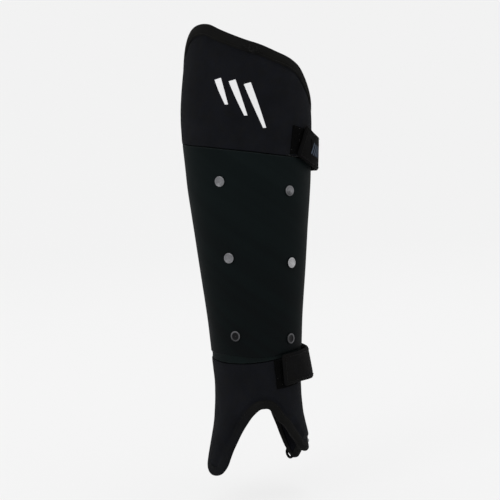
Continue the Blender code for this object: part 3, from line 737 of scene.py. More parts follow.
# ------------------------------------------------------------------ hard shell
def hard_shell():
    nu, nv = 240, 260
    w = SHELL_L + (SHELL_R - SHELL_L) * (0.5 - 0.5 * np.cos(np.pi * (0.12 + 0.76 * np.linspace(0, 1, nu)))
                                         - (0.5 - 0.5 * math.cos(math.pi * 0.12))) / math.cos(math.pi * 0.12)
    t = np.linspace(0, 1, nv)
    v = t + 0.11 * np.sin(2 * np.pi * t) * -1 / 1.0 * 0.5     # closer rows at both ends
    W, V = np.meshgrid(w, v)
    phi0 = np.clip(W * 117, -104, 90)
    top = shell_top(phi0)
    foot = lip_foot(W * 128)
    side = np.minimum(W - SHELL_L, SHELL_R - W) * math.radians(117) * float(radius(90, 130))
    r = 13.0
    k = np.where(side < r, r - np.sqrt(np.maximum(r * r - (r - side) ** 2, 0)), 0)
    z = (top - k) * (1 - V) + (foot + k) * V
    phi = W * rear_phi(z)
    # distance to the edge
    rp = radius(phi, z)
    d_side = np.minimum(W - SHELL_L, SHELL_R - W) * np.radians(rear_phi(z)) * rp
    d_end = np.minimum((top - k) - z, z - (foot + k))
    slope = np.where(side < r, (r - side) / np.sqrt(np.maximum(r * r - (r - side) ** 2, 4)), 0)
    d_end = d_end / np.sqrt(1 + slope ** 2)
    d = np.minimum(np.maximum(d_side, 0), np.maximum(d_end, 0))
    th = 2.4
    rr = 0.8
    kk = np.sqrt(np.clip(1 - np.clip(1 - d / rr, 0, 1) ** 2, 0, 1))
    kk = np.maximum(kk, 0.05)
    # lip: the lower band steps back, then turns out a little at its edge
    step = 1 - sst(z, shell_step(phi) - 0.45, shell_step(phi) + 0.45)
    lip = -0.85 * step + 0.35 * step * (1 - sst(z, lip_foot(phi), lip_foot(phi) + 2.6))
    s = arc(phi, z)
    warp = 0.05 * waves(s, z, 70, 11, 2)
    dimple = 0.0
    for p, zz in RIVETS.values():
        dd = np.hypot(np.radians(phi - p) * rp, z - zz)
        dimple = dimple - 0.22 * np.exp(-(dd / 7.0) ** 4)
    out = lip + warp + dimple - 1.2 + 1.2 * kk
    inn = -th + 1.2 - 1.2 * kk + np.minimum(lip, 0) * 0.0
    inn = np.minimum(inn, out - 0.12)
    # lighter band at the top and bottom ends of the shell: rubbed wear and a painted edge highlight
    edge = np.clip(1 - (d - 0.25) / 0.8, 0, 1) * (d_end < 3)
    ob = sheet_mesh("shell_front", phi, z, out, inn, ["shell", "lip"], edge=edge)
    # lip faces take their own finish
    me = ob.data
    zc = np.zeros(len(me.polygons) * 3)
    me.polygons.foreach_get("center", zc)
    zc = zc.reshape(-1, 3)
    ph = np.degrees(np.arctan2(zc[:, 0], -(zc[:, 1] - F_C(zc[:, 2] * 1000) * MM)))
    ids = (zc[:, 2] * 1000 < shell_step(ph) - 0.2).astype(np.int32)
    me.polygons.foreach_set("material_index", ids)
    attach(ob, "root")
    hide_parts("hard_shell")
    return ob


hard_shell()


# ------------------------------------------------------------------ bindings
def binding(name, phi, z, body, slot_nodes, w=6.0, crown=0.9, th=0.9, base=None, blend=None,
            outward=1, stitch=True, w_in=4.2, crown_of=None, dirs=None, mat="tape", tone=None):
    """Tape rolled over a cut edge; outward=+1 puts the edge side to the left of travel."""
    es, ez = directions(phi, z) if dirs is None else dirs
    nx, nz = -ez * outward, es * outward                 # away from the material
    ss = np.concatenate([[0], np.cumsum(np.hypot(np.radians(np.diff(phi)) * radius(phi[:-1], z[:-1]),
                                                 np.diff(z)))])
    # pulled in at every stitch
    pull = 0.16 * (0.5 + 0.5 * np.cos(2 * np.pi * ss / 2.9))
    q = np.linspace(0, 1, 12)
    # outer face from its inner margin to the fold
    e_out = -w + q * (w + 0.9)
    crowns = np.full(phi.shape, crown) if crown_of is None else crown_of(phi, z)
    hump = np.sin(np.pi * np.clip(q * 0.92 + 0.02, 0, 1)) ** 0.75
    draw = tuck(phi, z) + 0.75 * (1 - firm(phi, z))
    a = np.linspace(0, np.pi, 9)[1:-1]
    e_fold = 0.9 + 0.75 * np.sin(a)
    n_edge = phi.shape[0]
    rings, uvs = [], []
    for i in range(n_edge):
        o_base = -0.75 + draw[i]
        h_out = 0.12 + 0.1 * min(crowns[i], 1.0) + crowns[i] * hump
        t_s = SLEEVE_T - 1.3
        lo = o_base - t_s
        offs = [o_base + h + (-pull[i] * math.exp(-((e + w - 1.5) / 1.1) ** 2)) for e, h in zip(e_out, h_out)]
        es_ = list(e_out)
        top_o, bot_o = offs[-1], lo - 0.25 - 0.35
        offs += [top_o + (bot_o - top_o) * (0.5 - 0.5 * math.cos(x)) for x in a]
        es_ += list(e_fold)
        qi = np.linspace(0, 1, 7)
        es_ += list(0.9 - qi * (w_in + 0.9))
        offs += list(lo - 0.25 - 0.45 * np.sin(np.pi * np.clip(1 - qi * 0.92, 0, 1)) ** 0.75)
        # back along the hidden faces
        es_ += [-w_in + 0.2, 0.45, 0.45, -w + 0.4]
        offs += [lo - 0.1, lo - 0.1, o_base + 0.1, o_base + 0.1]
        es_, offs = np.array(es_), np.array(offs)
        r = float(radius(phi[i], z[i]))
        pp = phi[i] + np.degrees(nx[i] * es_ / r)
        zz = z[i] + nz[i] * es_
        offs[:12] += relief(pp[:12], zz[:12]) * sst(-es_[:12], 0, 9)
        rings.append(skin(pp, zz, offs))
        uvs.append(np.stack([np.full(len(es_), ss[i]), np.cumsum(np.concatenate(
            [[0], np.hypot(np.diff(es_), np.diff(offs))]))], -1))
    tones = None if tone is None else np.repeat(tone(phi)[:, None], len(rings[0]), 1)
    ob = sweep_mesh(name, np.array(rings), np.array(uvs), mat, edge=tones, sharp=70)
    if slot_nodes:
        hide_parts(*slot_nodes)
    obs = [ob]
    if stitch:
        pp = phi + np.degrees(nx * (-w + 1.5) / radius(phi, z))
        zz = z + nz * (-w + 1.5)
        st = stitches(name + "_stitch", pp, zz, -0.75 + 0.2 + crowns * 0.5 + tuck(pp, zz))
        obs.append(st)
    for o in obs:
        if blend:
            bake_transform(o)
        else:
            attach(o, body)
    return ob


tp, tz = poly_sample([(p * 0.992, zz) for p, zz in TOP_EDGE], 0.6)
binding("top_hem", tp, tz, "root", ["top_binding"], w=8.0, crown=1.1)

rz = np.linspace(246.2, Z_SPLIT, 380)
binding("right_edge_tape", rear_phi(rz), rz, "root", ["right_edge_binding"], w=6.0, crown=0.7)
rz = np.linspace(Z_SPLIT, 287.6, 420)
binding("left_edge_tape", -rear_phi(rz), rz, "root", ["left_edge_binding"], w=6.0, crown=0.7)



def leg_crown(phi, z):
    """The hem stands proud over the arch and the right leg, and lies flat down the left leg."""
    left = 0.06 + 1.24 * sst(phi, -34, -8)
    right = 1.3 - 0.95 * sst(phi, 46, 78)
    return np.where(phi < 0, left, right)


for side, P, nodes in (("left", LEFT_P, ["left_leg_binding", "arch_binding"]), ("right", RIGHT_P, ["right_leg_binding"])):
    binding(side + "_leg_tape", P[0], P[1], None, nodes, w=6.4, blend=side + "_ankle_leg", crown_of=leg_crown,
            outward=-1, dirs=(P[2], P[3]), mat="hem", tone=lambda p: sst(p, -34, -8))


# ------------------------------------------------------------------ straps
def strap_path(stations):
    p = np.array(stations, float)
    t = p[:, 0]
    return spline(t, p[:, 1]), spline(t, p[:, 2])


CALF_Z, CALF_O = strap_path(CALF)
ANKLE_Z, ANKLE_O = strap_path(ANKLE)


def tilt_of(stations):
    return spline([s[0] for s in stations], [s[3] for s in stations])


CALF_T, ANKLE_T = tilt_of(CALF), tilt_of(ANKLE)


def strap(name, fz, fo, ft, p0, p1, width, body, mats="elastic", th=2.1, seed=1,
          lift=0.0, slant=(0.0, 0.0), step=0.9, sag=0.35, nodes=(), corner=(2.0, 2.0),
          ends=(True, True)):
    """A ribbed strap running round the leg, closed, with rounded edges and corners."""
    n = max(24, int(math.radians(p1 - p0) * 58 / step))
    phi = np.linspace(p0, p1, n)
    r = radius(phi, fz(phi))
    ss = np.concatenate([[0], np.cumsum(np.radians(np.diff(phi)) * r[:-1])])
    m = 25
    q = np.linspace(-1, 1, m)
    zc, oc, tc = fz(phi), fo(phi), ft(phi)
    slope = np.gradient(zc, ss)
    hw = width / 2 * (1 + 0.006 * waves(ss, ss * 0, 31, seed, 2))
    # rounded corners at the ends
    for e, rad in ((ss, corner[0]), (ss[-1] - ss, corner[1])):
        if rad > 0:
            hw = hw - np.where(e < rad, rad - np.sqrt(np.maximum(rad ** 2 - (rad - e) ** 2, 0)), 0)
    rings, uvs = [], []
    for i in range(n):
        v = q * hw[i]
        edge = np.clip((1 - np.abs(q)) * hw[i] / 1.0, 0, 1)
        half = th / 2 * np.sqrt(np.clip(1 - (1 - edge) ** 2, 0.02, 1))
        e_end = min(ss[i] if ends[0] else 9.0, ss[-1] - ss[i] if ends[1] else 9.0)
        half = half * (0.35 + 0.65 * min(1.0, math.sqrt(max(0.0, e_end / 0.8))))
        bulge = sag * (1 - q ** 2) * 0.6 + 0.12 * waves(ss[i] + 0 * v, v, 17, seed + 3, 2)
        o = oc[i] + lift + th / 2 + bulge - tc[i] * v
        # ribs that run along the strap
        rib = 0.11 * (np.abs(np.sin(np.pi * v / 2.15)) - 0.6)
        top = o + half + rib
        bot = o - half - rib * 0.6
        zz = zc[i] + v * math.cos(math.atan(slope[i]))
        pp = phi[i] - np.degrees(v * math.sin(math.atan(slope[i])) / r[i])
        pp = pp + slant[0] * (1 - i / (n - 1)) * q + slant[1] * (i / (n - 1)) * q
        top_p = skin(pp, zz, top)
        bot_p = skin(pp[::-1], zz[::-1], bot[::-1])
        rings.append(np.concatenate([top_p, bot_p]))
        uvs.append(np.concatenate([np.stack([ss[i] + 0 * v, v + 60], -1),
                                   np.stack([ss[i] + 0 * v, v[::-1] + 60], -1)]))
    ob = sweep_mesh(name, np.array(rings), np.array(uvs), mats, sharp=62)
    if body:
        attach(ob, body)
    if nodes:
        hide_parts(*nodes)
    return ob


def along(name, fz, fo, ft, pts, th, body, lift, **kw):
    """Thread over a strap; pts are (angle, across in mm) stations."""
    pp, vv = [], []
    for (a0, b0), (a1, b1) in zip(pts[:-1], pts[1:]):
        k = max(3, int(max(abs(a1 - a0), abs(b1 - b0)) / 0.4))
        t = np.linspace(0, 1, k, endpoint=False)
        pp += list(a0 + (a1 - a0) * t)
        vv += list(b0 + (b1 - b0) * t)
    pp.append(pts[-1][0])
    vv.append(pts[-1][1])
    pp, vv = np.array(pp), np.array(vv)
    r = radius(pp, fz(pp))
    sl = np.arctan(np.gradient(fz(np.linspace(pp.min() - 1, pp.max() + 1, 200)),
                               np.radians(np.linspace(pp.min() - 1, pp.max() + 1, 200)) * r.mean()))
    s_at = np.interp(pp, np.linspace(pp.min() - 1, pp.max() + 1, 200), sl)
    zz = fz(pp) + vv * np.cos(s_at)
    ph = pp - np.degrees(vv * np.sin(s_at) / r)
    ob = stitches(name, ph, zz, fo(pp) - ft(pp) * vv + lift, **kw)
    if body:
        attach(ob, body)
    return ob


def patch(name, corners, off, th, body, mats, nodes, rows=60, bulge=0.0, drape=None, seed=5, corner=1.2,
          grid=(90, 60), rough=0.10):
    """A flat piece of tape on the form; corners are (angle, height) TL, TR, BR, BL."""
    c = np.array(corners, float)
    m, n = grid
    u, v = np.meshgrid(np.linspace(0, 1, m), np.linspace(0, 1, n))
    top = c[0] + (c[1] - c[0]) * u[..., None]
    bot = c[3] + (c[2] - c[3]) * u[..., None]
    P = top + (bot - top) * v[..., None]
    phi, z = P[..., 0], P[..., 1]
    s = arc(phi, z)
    w = np.hypot(*(c[1] - c[0]) * (0.9, 1))
    d = np.minimum(np.minimum(u, 1 - u) * abs(c[1][0] - c[0][0]) * 0.95,
                   np.minimum(v, 1 - v) * abs(c[0][1] - c[3][1]))
    k = np.sqrt(np.clip(1 - (1 - np.clip(d / 0.9, 0, 1)) ** 2, 0.02, 1))
    # wandering edges
    bumpy = rough * waves(s, z, 3.1, seed, 3)
    phi = phi + np.degrees(0.25 * waves(s, z, 9, seed + 1, 2) * (k < 1) / 48)
    top_o = off + th * k + bumpy * k + bulge
    bot_o = off + 0 * k - 0.2
    ob = sheet_mesh(name, phi, z, top_o, bot_o, mats)
    if body:
        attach(ob, body)
    if nodes:
        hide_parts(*nodes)
    return ob


def fibres(name, corners, off, count, length, r, body, seed, mat="fuzz", curl=1.0, soft=False):
    """Stray loops standing off a napped face."""
    g = np.random.default_rng(seed)
    c = np.array(corners, float)
    verts, faces, uv = [], [], []
    for _ in range(count):
        u, v = g.uniform(0.01, 0.99, 2)
        if soft:
            u, v = np.clip(0.5 + g.normal(0, 0.17, 2), 0, 1)
        P = (c[0] * (1 - u) + c[1] * u) * (1 - v) + (c[3] * (1 - u) + c[2] * u) * v
        th0 = g.uniform(0, 2 * math.pi)
        L = length * g.uniform(0.5, 1.4)
        k = 6
        t = np.linspace(0, 1, k)
        bend = g.uniform(-2.4, 2.4) * curl
        ang = th0 + bend * t
        dx = np.concatenate([[0], np.cumsum(np.cos(ang[:-1]))]) * L / (k - 1)
        dz = np.concatenate([[0], np.cumsum(np.sin(ang[:-1]))]) * L / (k - 1)
        rr = float(radius(P[0], P[1]))
        h = np.sin(np.pi * t) * L * g.uniform(0.18, 0.42) - 0.05
        cen = skin(P[0] + np.degrees(dx / rr), P[1] + dz, off + h)
        tan = np.gradient(cen, axis=0)
        tan /= np.maximum(np.linalg.norm(tan, axis=1, keepdims=True), 1e-12)
        nrm = skin(P[0] + np.degrees(dx / rr), P[1] + dz, off + h + 1) - cen
        nrm /= np.linalg.norm(nrm, axis=1, keepdims=True)
        sid = np.cross(tan, nrm)
        sid /= np.maximum(np.linalg.norm(sid, axis=1, keepdims=True), 1e-12)
        nr2 = np.cross(sid, tan)
        b = len(verts)
        for i in range(k):
            w = r * MM * (0.6 if i in (0, k - 1) else 1.0)
            for m in range(3):
                a = 2 * math.pi * m / 3
                verts.append(cen[i] + (nr2[i] * math.cos(a) + sid[i] * math.sin(a)) * w)
                uv.append((t[i] * L, m * 0.2))
        for i in range(k - 1):
            for m in range(3):
                p, q = b + i * 3 + m, b + i * 3 + (m + 1) % 3
                faces.append((p, q, q + 3, p + 3))
        faces.append((b, b + 2, b + 1))
        faces.append((b + 3 * k - 3, b + 3 * k - 2, b + 3 * k - 1))
    ob = build(name, verts, faces, uv, mat)
    if body:
        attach(ob, body)
    return ob


# calf strap start angle; each strap is built in two lengths
CALF_P0 = 43.6


def at(fz, fo, p, extra=1.1):
    return tuple(float(v) for v in skin(p, fz(p), fo(p) + extra))


def bending_strap(pre, fz, fo, ft, p0, hinge, p1, width, slant, seed):
    """Two lengths of webbing that meet where the strap is straight."""
    mid = 180.0
    weave = "elastic_worn" if pre == "calf" else "elastic"
    ob = strap(pre + "_strap_front", fz, fo, ft, p0, mid, width, None, weave, seed=seed, slant=(slant, 0.0),
               nodes=[pre + "_strap_tab"], corner=(2.4, 0.0), ends=(True, False))
    a, b = at(fz, fo, hinge + 9), at(fz, fo, hinge - 9)
    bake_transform(ob)
    ob = strap(pre + "_strap_back", fz, fo, ft, mid, p1, width, None, weave, seed=seed + 1,
               nodes=[pre + "_strap_band"], corner=(0.0, 1.0), ends=(False, True))
    a, b = at(fz, fo, p1 - 2), at(fz, fo, p1 - 17)
    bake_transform(ob)


bending_strap("calf", CALF_Z, CALF_O, CALF_T, CALF_P0, 97.0, 241.6, 30.0, -0.6, 21)
bending_strap("ankle", ANKLE_Z, ANKLE_O, ANKLE_T, 22.6, 92.0, 217.4, 28.0, 0.0, 27)

CALF_LOOP = [(36.0, 250.5), (62, 245.5), (60, 225.6), (32.5, 225.8)]
ANKLE_LOOP = [(12.8, 48.2), (52, 48.2), (52, 23.0), (17.0, 22.4)]
for pre, corners, n, seed in (("calf", CALF_LOOP, 900, 41), ("ankle", ANKLE_LOOP, 900, 45)):
    patch(pre + "_loop_nap", corners, 0.3, 1.0, "root", "loop", [pre + "_loop_patch"], seed=seed, rough=0.18)
    ob = fibres(pre + "_loop_fuzz", corners, 1.2, n, 1.3, 0.045, "root", seed + 1)
    ob = fibres(pre + "_loop_lint", corners, 1.35, 10, 1.2, 0.10, "root", seed + 2, mat="lint")

BORDERS = {
    "calf_tab": (CALF_Z, CALF_O, CALF_T, [(90, -12.6), (47.4, -12.6), (46.9, -4), (46.6, 4), (46.4, 12.6), (90, 12.6)]),
    "ankle_tab": (ANKLE_Z, ANKLE_O, ANKLE_T, [(88, -11.2), (26.2, -11.2), (26.0, 0), (26.2, 11.2), (88, 11.2)]),
}
for body, (fz, fo, ft, pts) in BORDERS.items():
    ob = along(body + "_border", fz, fo, ft, pts, 2.1, None, 2.42, sag=0.08, r=0.2)
    pre = body.split("_")[0]
    h = 97.0 if pre == "calf" else 92.0
    at(fz, fo, h + 9)
    at(fz, fo, h - 9)
    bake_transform(ob)


# ------------------------------------------------------------------ hook tape under the tabs
def hooks(name, fz, fo, p0, p1, width, body):
    """Rows of small curved hooks standing from the tape towards the leg."""
    verts, faces, uv = [], [], []
    r = 58.0
    n = int(math.radians(p1 - p0) * r / 1.35)
    m = int(width / 1.35)
    for i in range(n):
        for j in range(m):
            p = p0 + (p1 - p0) * (i + 0.5) / n
            v = -width / 2 + width * (j + 0.5) / m
            b = len(verts)
            d = 1 if j % 2 else -1
            for k, (dv, h, w) in enumerate(((0, 0, 0.16), (0.02, -0.25, 0.13), (0.14, -0.42, 0.12), (0.34, -0.40, 0.10))):
                zz = fz(p) + v + d * dv
                pp = np.array([p - 0.16, p + 0.16, p + 0.16, p - 0.16])
                q = np.array([-w, -w, w, w]) * 0.9
                verts.extend(skin(pp, zz + q, fo(p) - 1.18 + h))
                uv.extend([(k, 0)] * 4)
            for k in range(3):
                for c in range(4):
                    x, y = b + 4 * k + c, b + 4 * k + (c + 1) % 4
                    faces.append((x, y, y + 4, x + 4))
            faces.append((b + 3, b + 2, b + 1, b))
            faces.append((b + 12, b + 13, b + 14, b + 15))
    ob = build(name, verts, faces, uv, "hook")
    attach(ob, body)


for pre, fz, fo, ft, p0, p1, w in (("calf", CALF_Z, CALF_O, CALF_T, 46.2, 66.0, 25.0),
                                   ("ankle", ANKLE_Z, ANKLE_O, ANKLE_T, 26.2, 48.0, 23.5)):
    strap(pre + "_hook_tape", fz, fo, ft, p0, p1, w, pre + "_tab", mats="hook", th=0.7, lift=-0.95,
          nodes=[pre + "_hook_patch"], sag=0.0, corner=(1.5, 1.5))
    hooks(pre + "_hooks", fz, fo, p0 + 1.0, p1 - 1.0, w - 3, pre + "_tab")

# ------------------------------------------------------------------ sewn strap ends, rear left
for pre, box, seed in (("calf", (-117.3, -109.6, 203.6, 232.4), 51), ("ankle", (-141.2, -123.3, 22.4, 49.6), 53)):
    pa, pb, za, zb = box
    patch(pre + "_sewn_end", [(pa, zb), (pb, zb), (pb, za), (pa, za)], 0.15, 1.7, "root", "elastic",
          [pre + "_strap_anchor"], seed=seed, rough=0.05)
    r = float(radius((pa + pb) / 2, (za + zb) / 2))
    k = math.degrees(1.8 / r)
    x0, x1, y0, y1 = pa + k, pb - k, za + 2.2, zb - 2.2
    pts = [(x0, y0), (x1, y0), (x1, y1), (x0, y1), (x0, y0), (x1, y1), (x1, y0), (x0, y1)]
    pp, zz = [], []
    for (a0, b0), (a1, b1) in zip(pts[:-1], pts[1:]):
        n = 24
        t = np.linspace(0, 1, n, endpoint=False)
        pp += list(a0 + (a1 - a0) * t)
        zz += list(b0 + (b1 - b0) * t)
    ob = stitches(pre + "_sewn_end_box", np.array(pp), np.array(zz), 1.92, pitch=2.4, length=1.9)
    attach(ob, "root")

# ------------------------------------------------------------------ woven blocks on the calf strap
def raised(name, fz, fo, ft, p0, p1, v0, v1, lift, th, body, mats, nodes=(), lean=0.0, n=8, m=6):
    """A small block standing on a strap, between two angles and two heights across it."""
    u, v = np.meshgrid(np.linspace(0, 1, n), np.linspace(0, 1, m))
    phi = p0 + (p1 - p0) * u
    w = v1 + (v0 - v1) * v
    z = fz(phi) + w
    phi = phi + np.degrees(lean * w / radius(phi, z))
    k = np.minimum(np.minimum(u, 1 - u) * (n - 1), np.minimum(v, 1 - v) * (m - 1))
    o = fo(phi) - ft(phi) * w + lift
    ob = sheet_mesh(name, phi, z, o + th * np.clip(0.35 + k, 0, 1), o - 0.25, mats)
    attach(ob, body)
    if nodes:
        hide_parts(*nodes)
    return ob


raised("calf_woven_ground", CALF_Z, CALF_O, CALF_T, 56.5, 75, -7.5, 7.5, 2.38, 0.22, "calf_tab", "elastic_worn",
       nodes=["calf_strap_label"], n=40, m=24)
for i in range(5):
    q0 = 58.0 + 3.2 * i
    raised("calf_woven_bar_%d" % (i + 1), CALF_Z, CALF_O, CALF_T, q0, q0 + 1.5, -4.6, 4.6, 2.62, 0.2, "calf_tab",
           "label", lean=0.55)

# ------------------------------------------------------------------ printed bars on the cuff
for tag, p, z, lean, drop in (("a", -34, 292, 13, 22), ("b", -21, 290, 18, 30), ("c", -8, 287, 22, 38)):
    n, m = 26, 70
    u, v = np.meshgrid(np.linspace(0, 1, n), np.linspace(0, 1, m))
    taper = 1 - 0.55 * v ** 1.5
    phi = p + lean * 0.6 * v + 6.0 * (0.5 + (u - 0.5) * taper)
    zz = z - drop * v + 1.4 * (u - 0.5) * (1 - v)
    base, _ = sleeve_offsets(phi, zz)
    d = np.minimum(np.minimum(u, 1 - u) * 5.0 * taper, np.minimum(v, 1 - v) * drop)
    k = np.sqrt(np.clip(1 - (1 - np.clip(d / 0.35, 0, 1)) ** 2, 0.03, 1))
    ob = sheet_mesh("cuff_bar_" + tag, phi, zz, base + 0.10 + 0.16 * k, base - 0.25, "print")
    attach(ob, "root")
    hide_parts("front_mark_" + tag)


# ------------------------------------------------------------------ rivets
def rivet(name, phi, z, shade_and_tarnish, turn):
    """Domed cap with a rolled rim and a shallow dimple, with its post."""
    prof = [(0, 0.92), (0.6, 0.90), (1.2, 0.93), (2.0, 1.06), (2.6, 1.16), (3.1, 1.24), (3.5, 1.34), (3.85, 1.44),
            (4.15, 1.45), (4.4, 1.34), (4.55, 1.14), (4.6, 0.92), (4.58, 0.7), (4.45, 0.5), (4.2, 0.38), (3.4, 0.36),
            (1.9, 0.36), (1.88, -0.5), (1.88, -3.0), (1.88, -6.4), (1.88, -8.0)]
    seg = 72
    c = skin(phi, z, -0.28)
    nrm = skin(phi, z, 1) - skin(phi, z, 0)
    nrm /= np.linalg.norm(nrm)
    s = np.cross(nrm, [0, 0, 1.0])
    s /= np.linalg.norm(s)
    t = np.cross(nrm, s)
    g = np.random.default_rng(turn)
    verts, faces, uv, shade_and_dirt = [], [], [], []
    for i, (r, h) in enumerate(prof):
        if r == 0:
            verts.append(c + nrm * h * MM)
            uv.append((0, 0))
            shade_and_dirt.append(shade_and_tarnish)
            continue
        for k in range(seg):
            a = 2 * math.pi * k / seg
            wob = 0.014 * math.sin(3 * a + turn) + 0.01 * math.sin(5 * a + 2 * turn) if 0.5 < r < 4.2 else 0.0
            verts.append(c + (s * math.cos(a) + t * math.sin(a)) * r * MM + nrm * (h + wob) * MM)
            uv.append((r * a, r))
            # darker under the cap, on one side and in the groove: painted shade and reflection, with some tarnish; the
            # two darkest caps keep a lighter rim, a painted reflection
            low = 1.0 if h < 0.6 else 0.0
            side = max(0.0, math.sin(a + 0.3)) if shade_and_tarnish > 0.3 else 0.0
            if shade_and_tarnish > 0.6:
                shade_and_dirt.append(1.0 if r < 3.3 or h < 0.9 else 0.35 + 0.4 * max(0.0, math.cos(a + turn)))
            else:
                shade_and_dirt.append(min(1.0, shade_and_tarnish * (0.4 + 1.6 * side) + 0.5 * low + (0.25 if abs(r - 3.1) < 0.3 else 0)))
    for k in range(seg):
        faces.append((0, 1 + k, 1 + (k + 1) % seg))
    for i in range(1, len(prof) - 1):
        for k in range(seg):
            a, b = 1 + (i - 1) * seg + k, 1 + (i - 1) * seg + (k + 1) % seg
            faces.append((a, a + seg, b + seg, b))
    faces.append(tuple(1 + (len(prof) - 2) * seg + k for k in range(seg))[::-1])
    ob = build(name, verts, faces, uv, "nickel_dull" if shade_and_tarnish > 0.6 else "nickel_bright" if shade_and_tarnish == 0 else "nickel", edge=shade_and_dirt)
    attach(ob, "root")
    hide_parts("rivet_" + name.split("rivet_cap_")[1])


# how dark each cap is painted: shade and reflection by position, with some tarnish
for i, (tag, (p, z)) in enumerate(RIVETS.items()):
    rivet("rivet_cap_" + tag, p, z, {"top_left": 0.1, "mid_left": 0.12, "mid_right": 0.0, "top_right": 0.35,
                                      "low_left": 0.75, "low_right": 0.7}[tag], i + 1)
for tag in RIVETS:
    w = bpy.data.objects.get("washer_" + tag)
    if w is not None:
        w.data.materials.clear()
        w.data.materials.append(M["steel"])

# ------------------------------------------------------------------ foam under the shell, quilted lining
def pad_grid(u0, u1, z0, z1, nu, nv, corner):
    """A rounded rectangle on the form, in shares of the wrap."""
    u, v = np.meshgrid(np.linspace(0, 1, nu), np.linspace(0, 1, nv))
    z = z1 + (z0 - z1) * v
    phi = (u0 + (u1 - u0) * u) * rear_phi(z)
    w = np.radians((u1 - u0) * 117) * 52
    side = np.minimum(u, 1 - u) * w
    k = np.where(side < corner, corner - np.sqrt(np.maximum(corner ** 2 - (corner - side) ** 2, 0)), 0)
    z = np.clip(z, z0 + k, z1 - k)
    d = np.minimum(side, np.minimum(z - z0 - k, z1 - k - z))
    return phi, z, np.maximum(d, 0)


FOAM_BOX = (-0.78, 0.758, 22.0, 254.0)


def foam_depth(phi, z):
    u = phi / rear_phi(z)
    u0, u1, z0, z1 = FOAM_BOX
    side = np.minimum(u - u0, u1 - u) * np.radians(rear_phi(z)) * 52
    d = np.minimum(side, np.minimum(z - z0, z1 - z))
    return 4.9 * sst(d, -1.0, 9.0)


def back_face(phi, z):
    """Inner face of the sleeve, smoothed, without its rim."""
    d = shell_inside(phi, z)
    return -SLEEVE_T - 0.05 - 2.3 * sst(d, -3.2, -0.4)


phi, z, d = pad_grid(*FOAM_BOX, 110, 150, 7.0)
ft = foam_depth(phi, z)
cell = 0.10 * waves(arc(phi, z), z, 3.3, 61, 3)
o = back_face(phi, z) - 0.35
ob = sheet_mesh("foam_core", phi, z, o, o - np.maximum(ft + cell * 0.6, 0.35), "foam")
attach(ob, "root")
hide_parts("foam_pad")

# lining: quilted in long diamonds, puffed between the stitch lines
nu, nv = 190, 230
u = np.linspace(-0.905, 0.862, nu)
v = np.linspace(0, 1, nv)
U, V = np.meshgrid(u, v)
z_top = top_z(U * 116) - 9.5
z = z_top * (1 - V) + 15.5 * V
phi = U * rear_phi(z)
s = arc(phi, z)
ft = foam_depth(phi, z)
qa = np.abs(((s * 0.86 + z * 0.5) / 17.0) % 1 - 0.5) * 2
qb = np.abs(((s * 0.86 - z * 0.5) / 17.0) % 1 - 0.5) * 2
puff = np.minimum(1 - (1 - np.minimum(1, (1 - qa) * 2.6)) ** 2, 1 - (1 - np.minimum(1, (1 - qb) * 2.6)) ** 2)
puff = np.sqrt(np.clip(puff, 0, 1)) * sst(ft, 1.0, 4.5)
d_edge = np.minimum(np.minimum(U + 0.905, 0.862 - U) * np.radians(rear_phi(z)) * 52,
                    np.minimum(z_top - z, z - 15.5))
pinch = 1 - sst(d_edge, 0.5, 5)
o = back_face(phi, z) - 0.55 - ft
th = 0.75 + 0.75 * puff - 0.25 * pinch
ob = sheet_mesh("quilted_lining", phi, z, o + 0.1, o - th + 0.05 * waves(s, z, 7, 71, 2), "lining")
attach(ob, "root")
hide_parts("inner_lining")
# its seam, all round
m = 3.0
uu = np.concatenate([np.linspace(-0.88, 0.835, 420), np.full(500, 0.835), np.linspace(0.835, -0.88, 420),
                     np.full(500, -0.88)])
vv = np.concatenate([np.full(420, 0.0), np.linspace(0, 1, 500), np.full(420, 1.0), np.linspace(1, 0, 500)])
zt = top_z(uu * 116) - 9.5 - m
zz = zt * (1 - vv) + (15.5 + m) * vv
pp = uu * rear_phi(zz)
ob = stitches("lining_seam", pp, zz, back_face(pp, zz) - 0.55 - foam_depth(pp, zz) - 0.72, sag=-0.16)
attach(ob, "root")

ob = fibres("hem_pilling", [(-13, 324.5), (15, 315.0), (13, 307.0), (-14, 315.0)], 0.22, 460, 1.2, 0.04, "root", 81,
            mat="thread", soft=True)
ob = fibres("shell_edge_lint", [(27, 226.0), (44, 223.8), (44, 222.6), (27, 224.8)], 0.1, 16, 0.9, 0.09, "root", 83,
            mat="lint")
ob = fibres("hem_lint", [(-9, 322.0), (12, 315.5), (11, 309.0), (-10, 315.5)], 0.45, 44, 1.0, 0.05, "root", 82,
            mat="lint", soft=True)

# ------------------------------------------------------------------ loop at the right tip
c0 = skin(134.6, -55.4, -4.2)
ex = skin(135, -57.4, -2.1) - skin(132, -57.4, -2.1)
ex /= np.linalg.norm(ex)
nn = skin(133.6, -57.4, 1) - skin(133.6, -57.4, 0)
nn /= np.linalg.norm(nn)
ez = np.array([0, 0, 1.0])
N, mseg = 84, 20
rings, uvs = [], []
verts, faces, uv = [], [], []
for k in range(N):
    a = 2 * math.pi * k / N
    dr = ex * math.cos(a) * 1.06 + ez * math.sin(a) * 1.34
    w = 1.35 + 0.22 * math.sin(a) + 0.1 * math.sin(3 * a + 1)
    for j in range(mseg):
        b = 2 * math.pi * j / mseg
        c, sn = math.cos(b), math.sin(b)
        rr = 3.5 + 0.85 * math.copysign(abs(c) ** 0.6, c) + 0.05 * math.sin(b * 6)
        hh = w * math.copysign(abs(sn) ** 0.6, sn)
        verts.append(c0 + dr * rr * MM + nn * hh * MM)
        uv.append((a * 4.3, b * 1.4 + 60))
for k in range(N):
    for j in range(mseg):
        a, b = k * mseg + j, k * mseg + (j + 1) % mseg
        c, d2 = ((k + 1) % N) * mseg + (j + 1) % mseg, ((k + 1) % N) * mseg + j
        faces.append((a, b, c, d2))
ob = build("tip_elastic_loop", verts, faces, uv, "elastic")
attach(ob, "right_ankle_leg")
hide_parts("tip_loop")

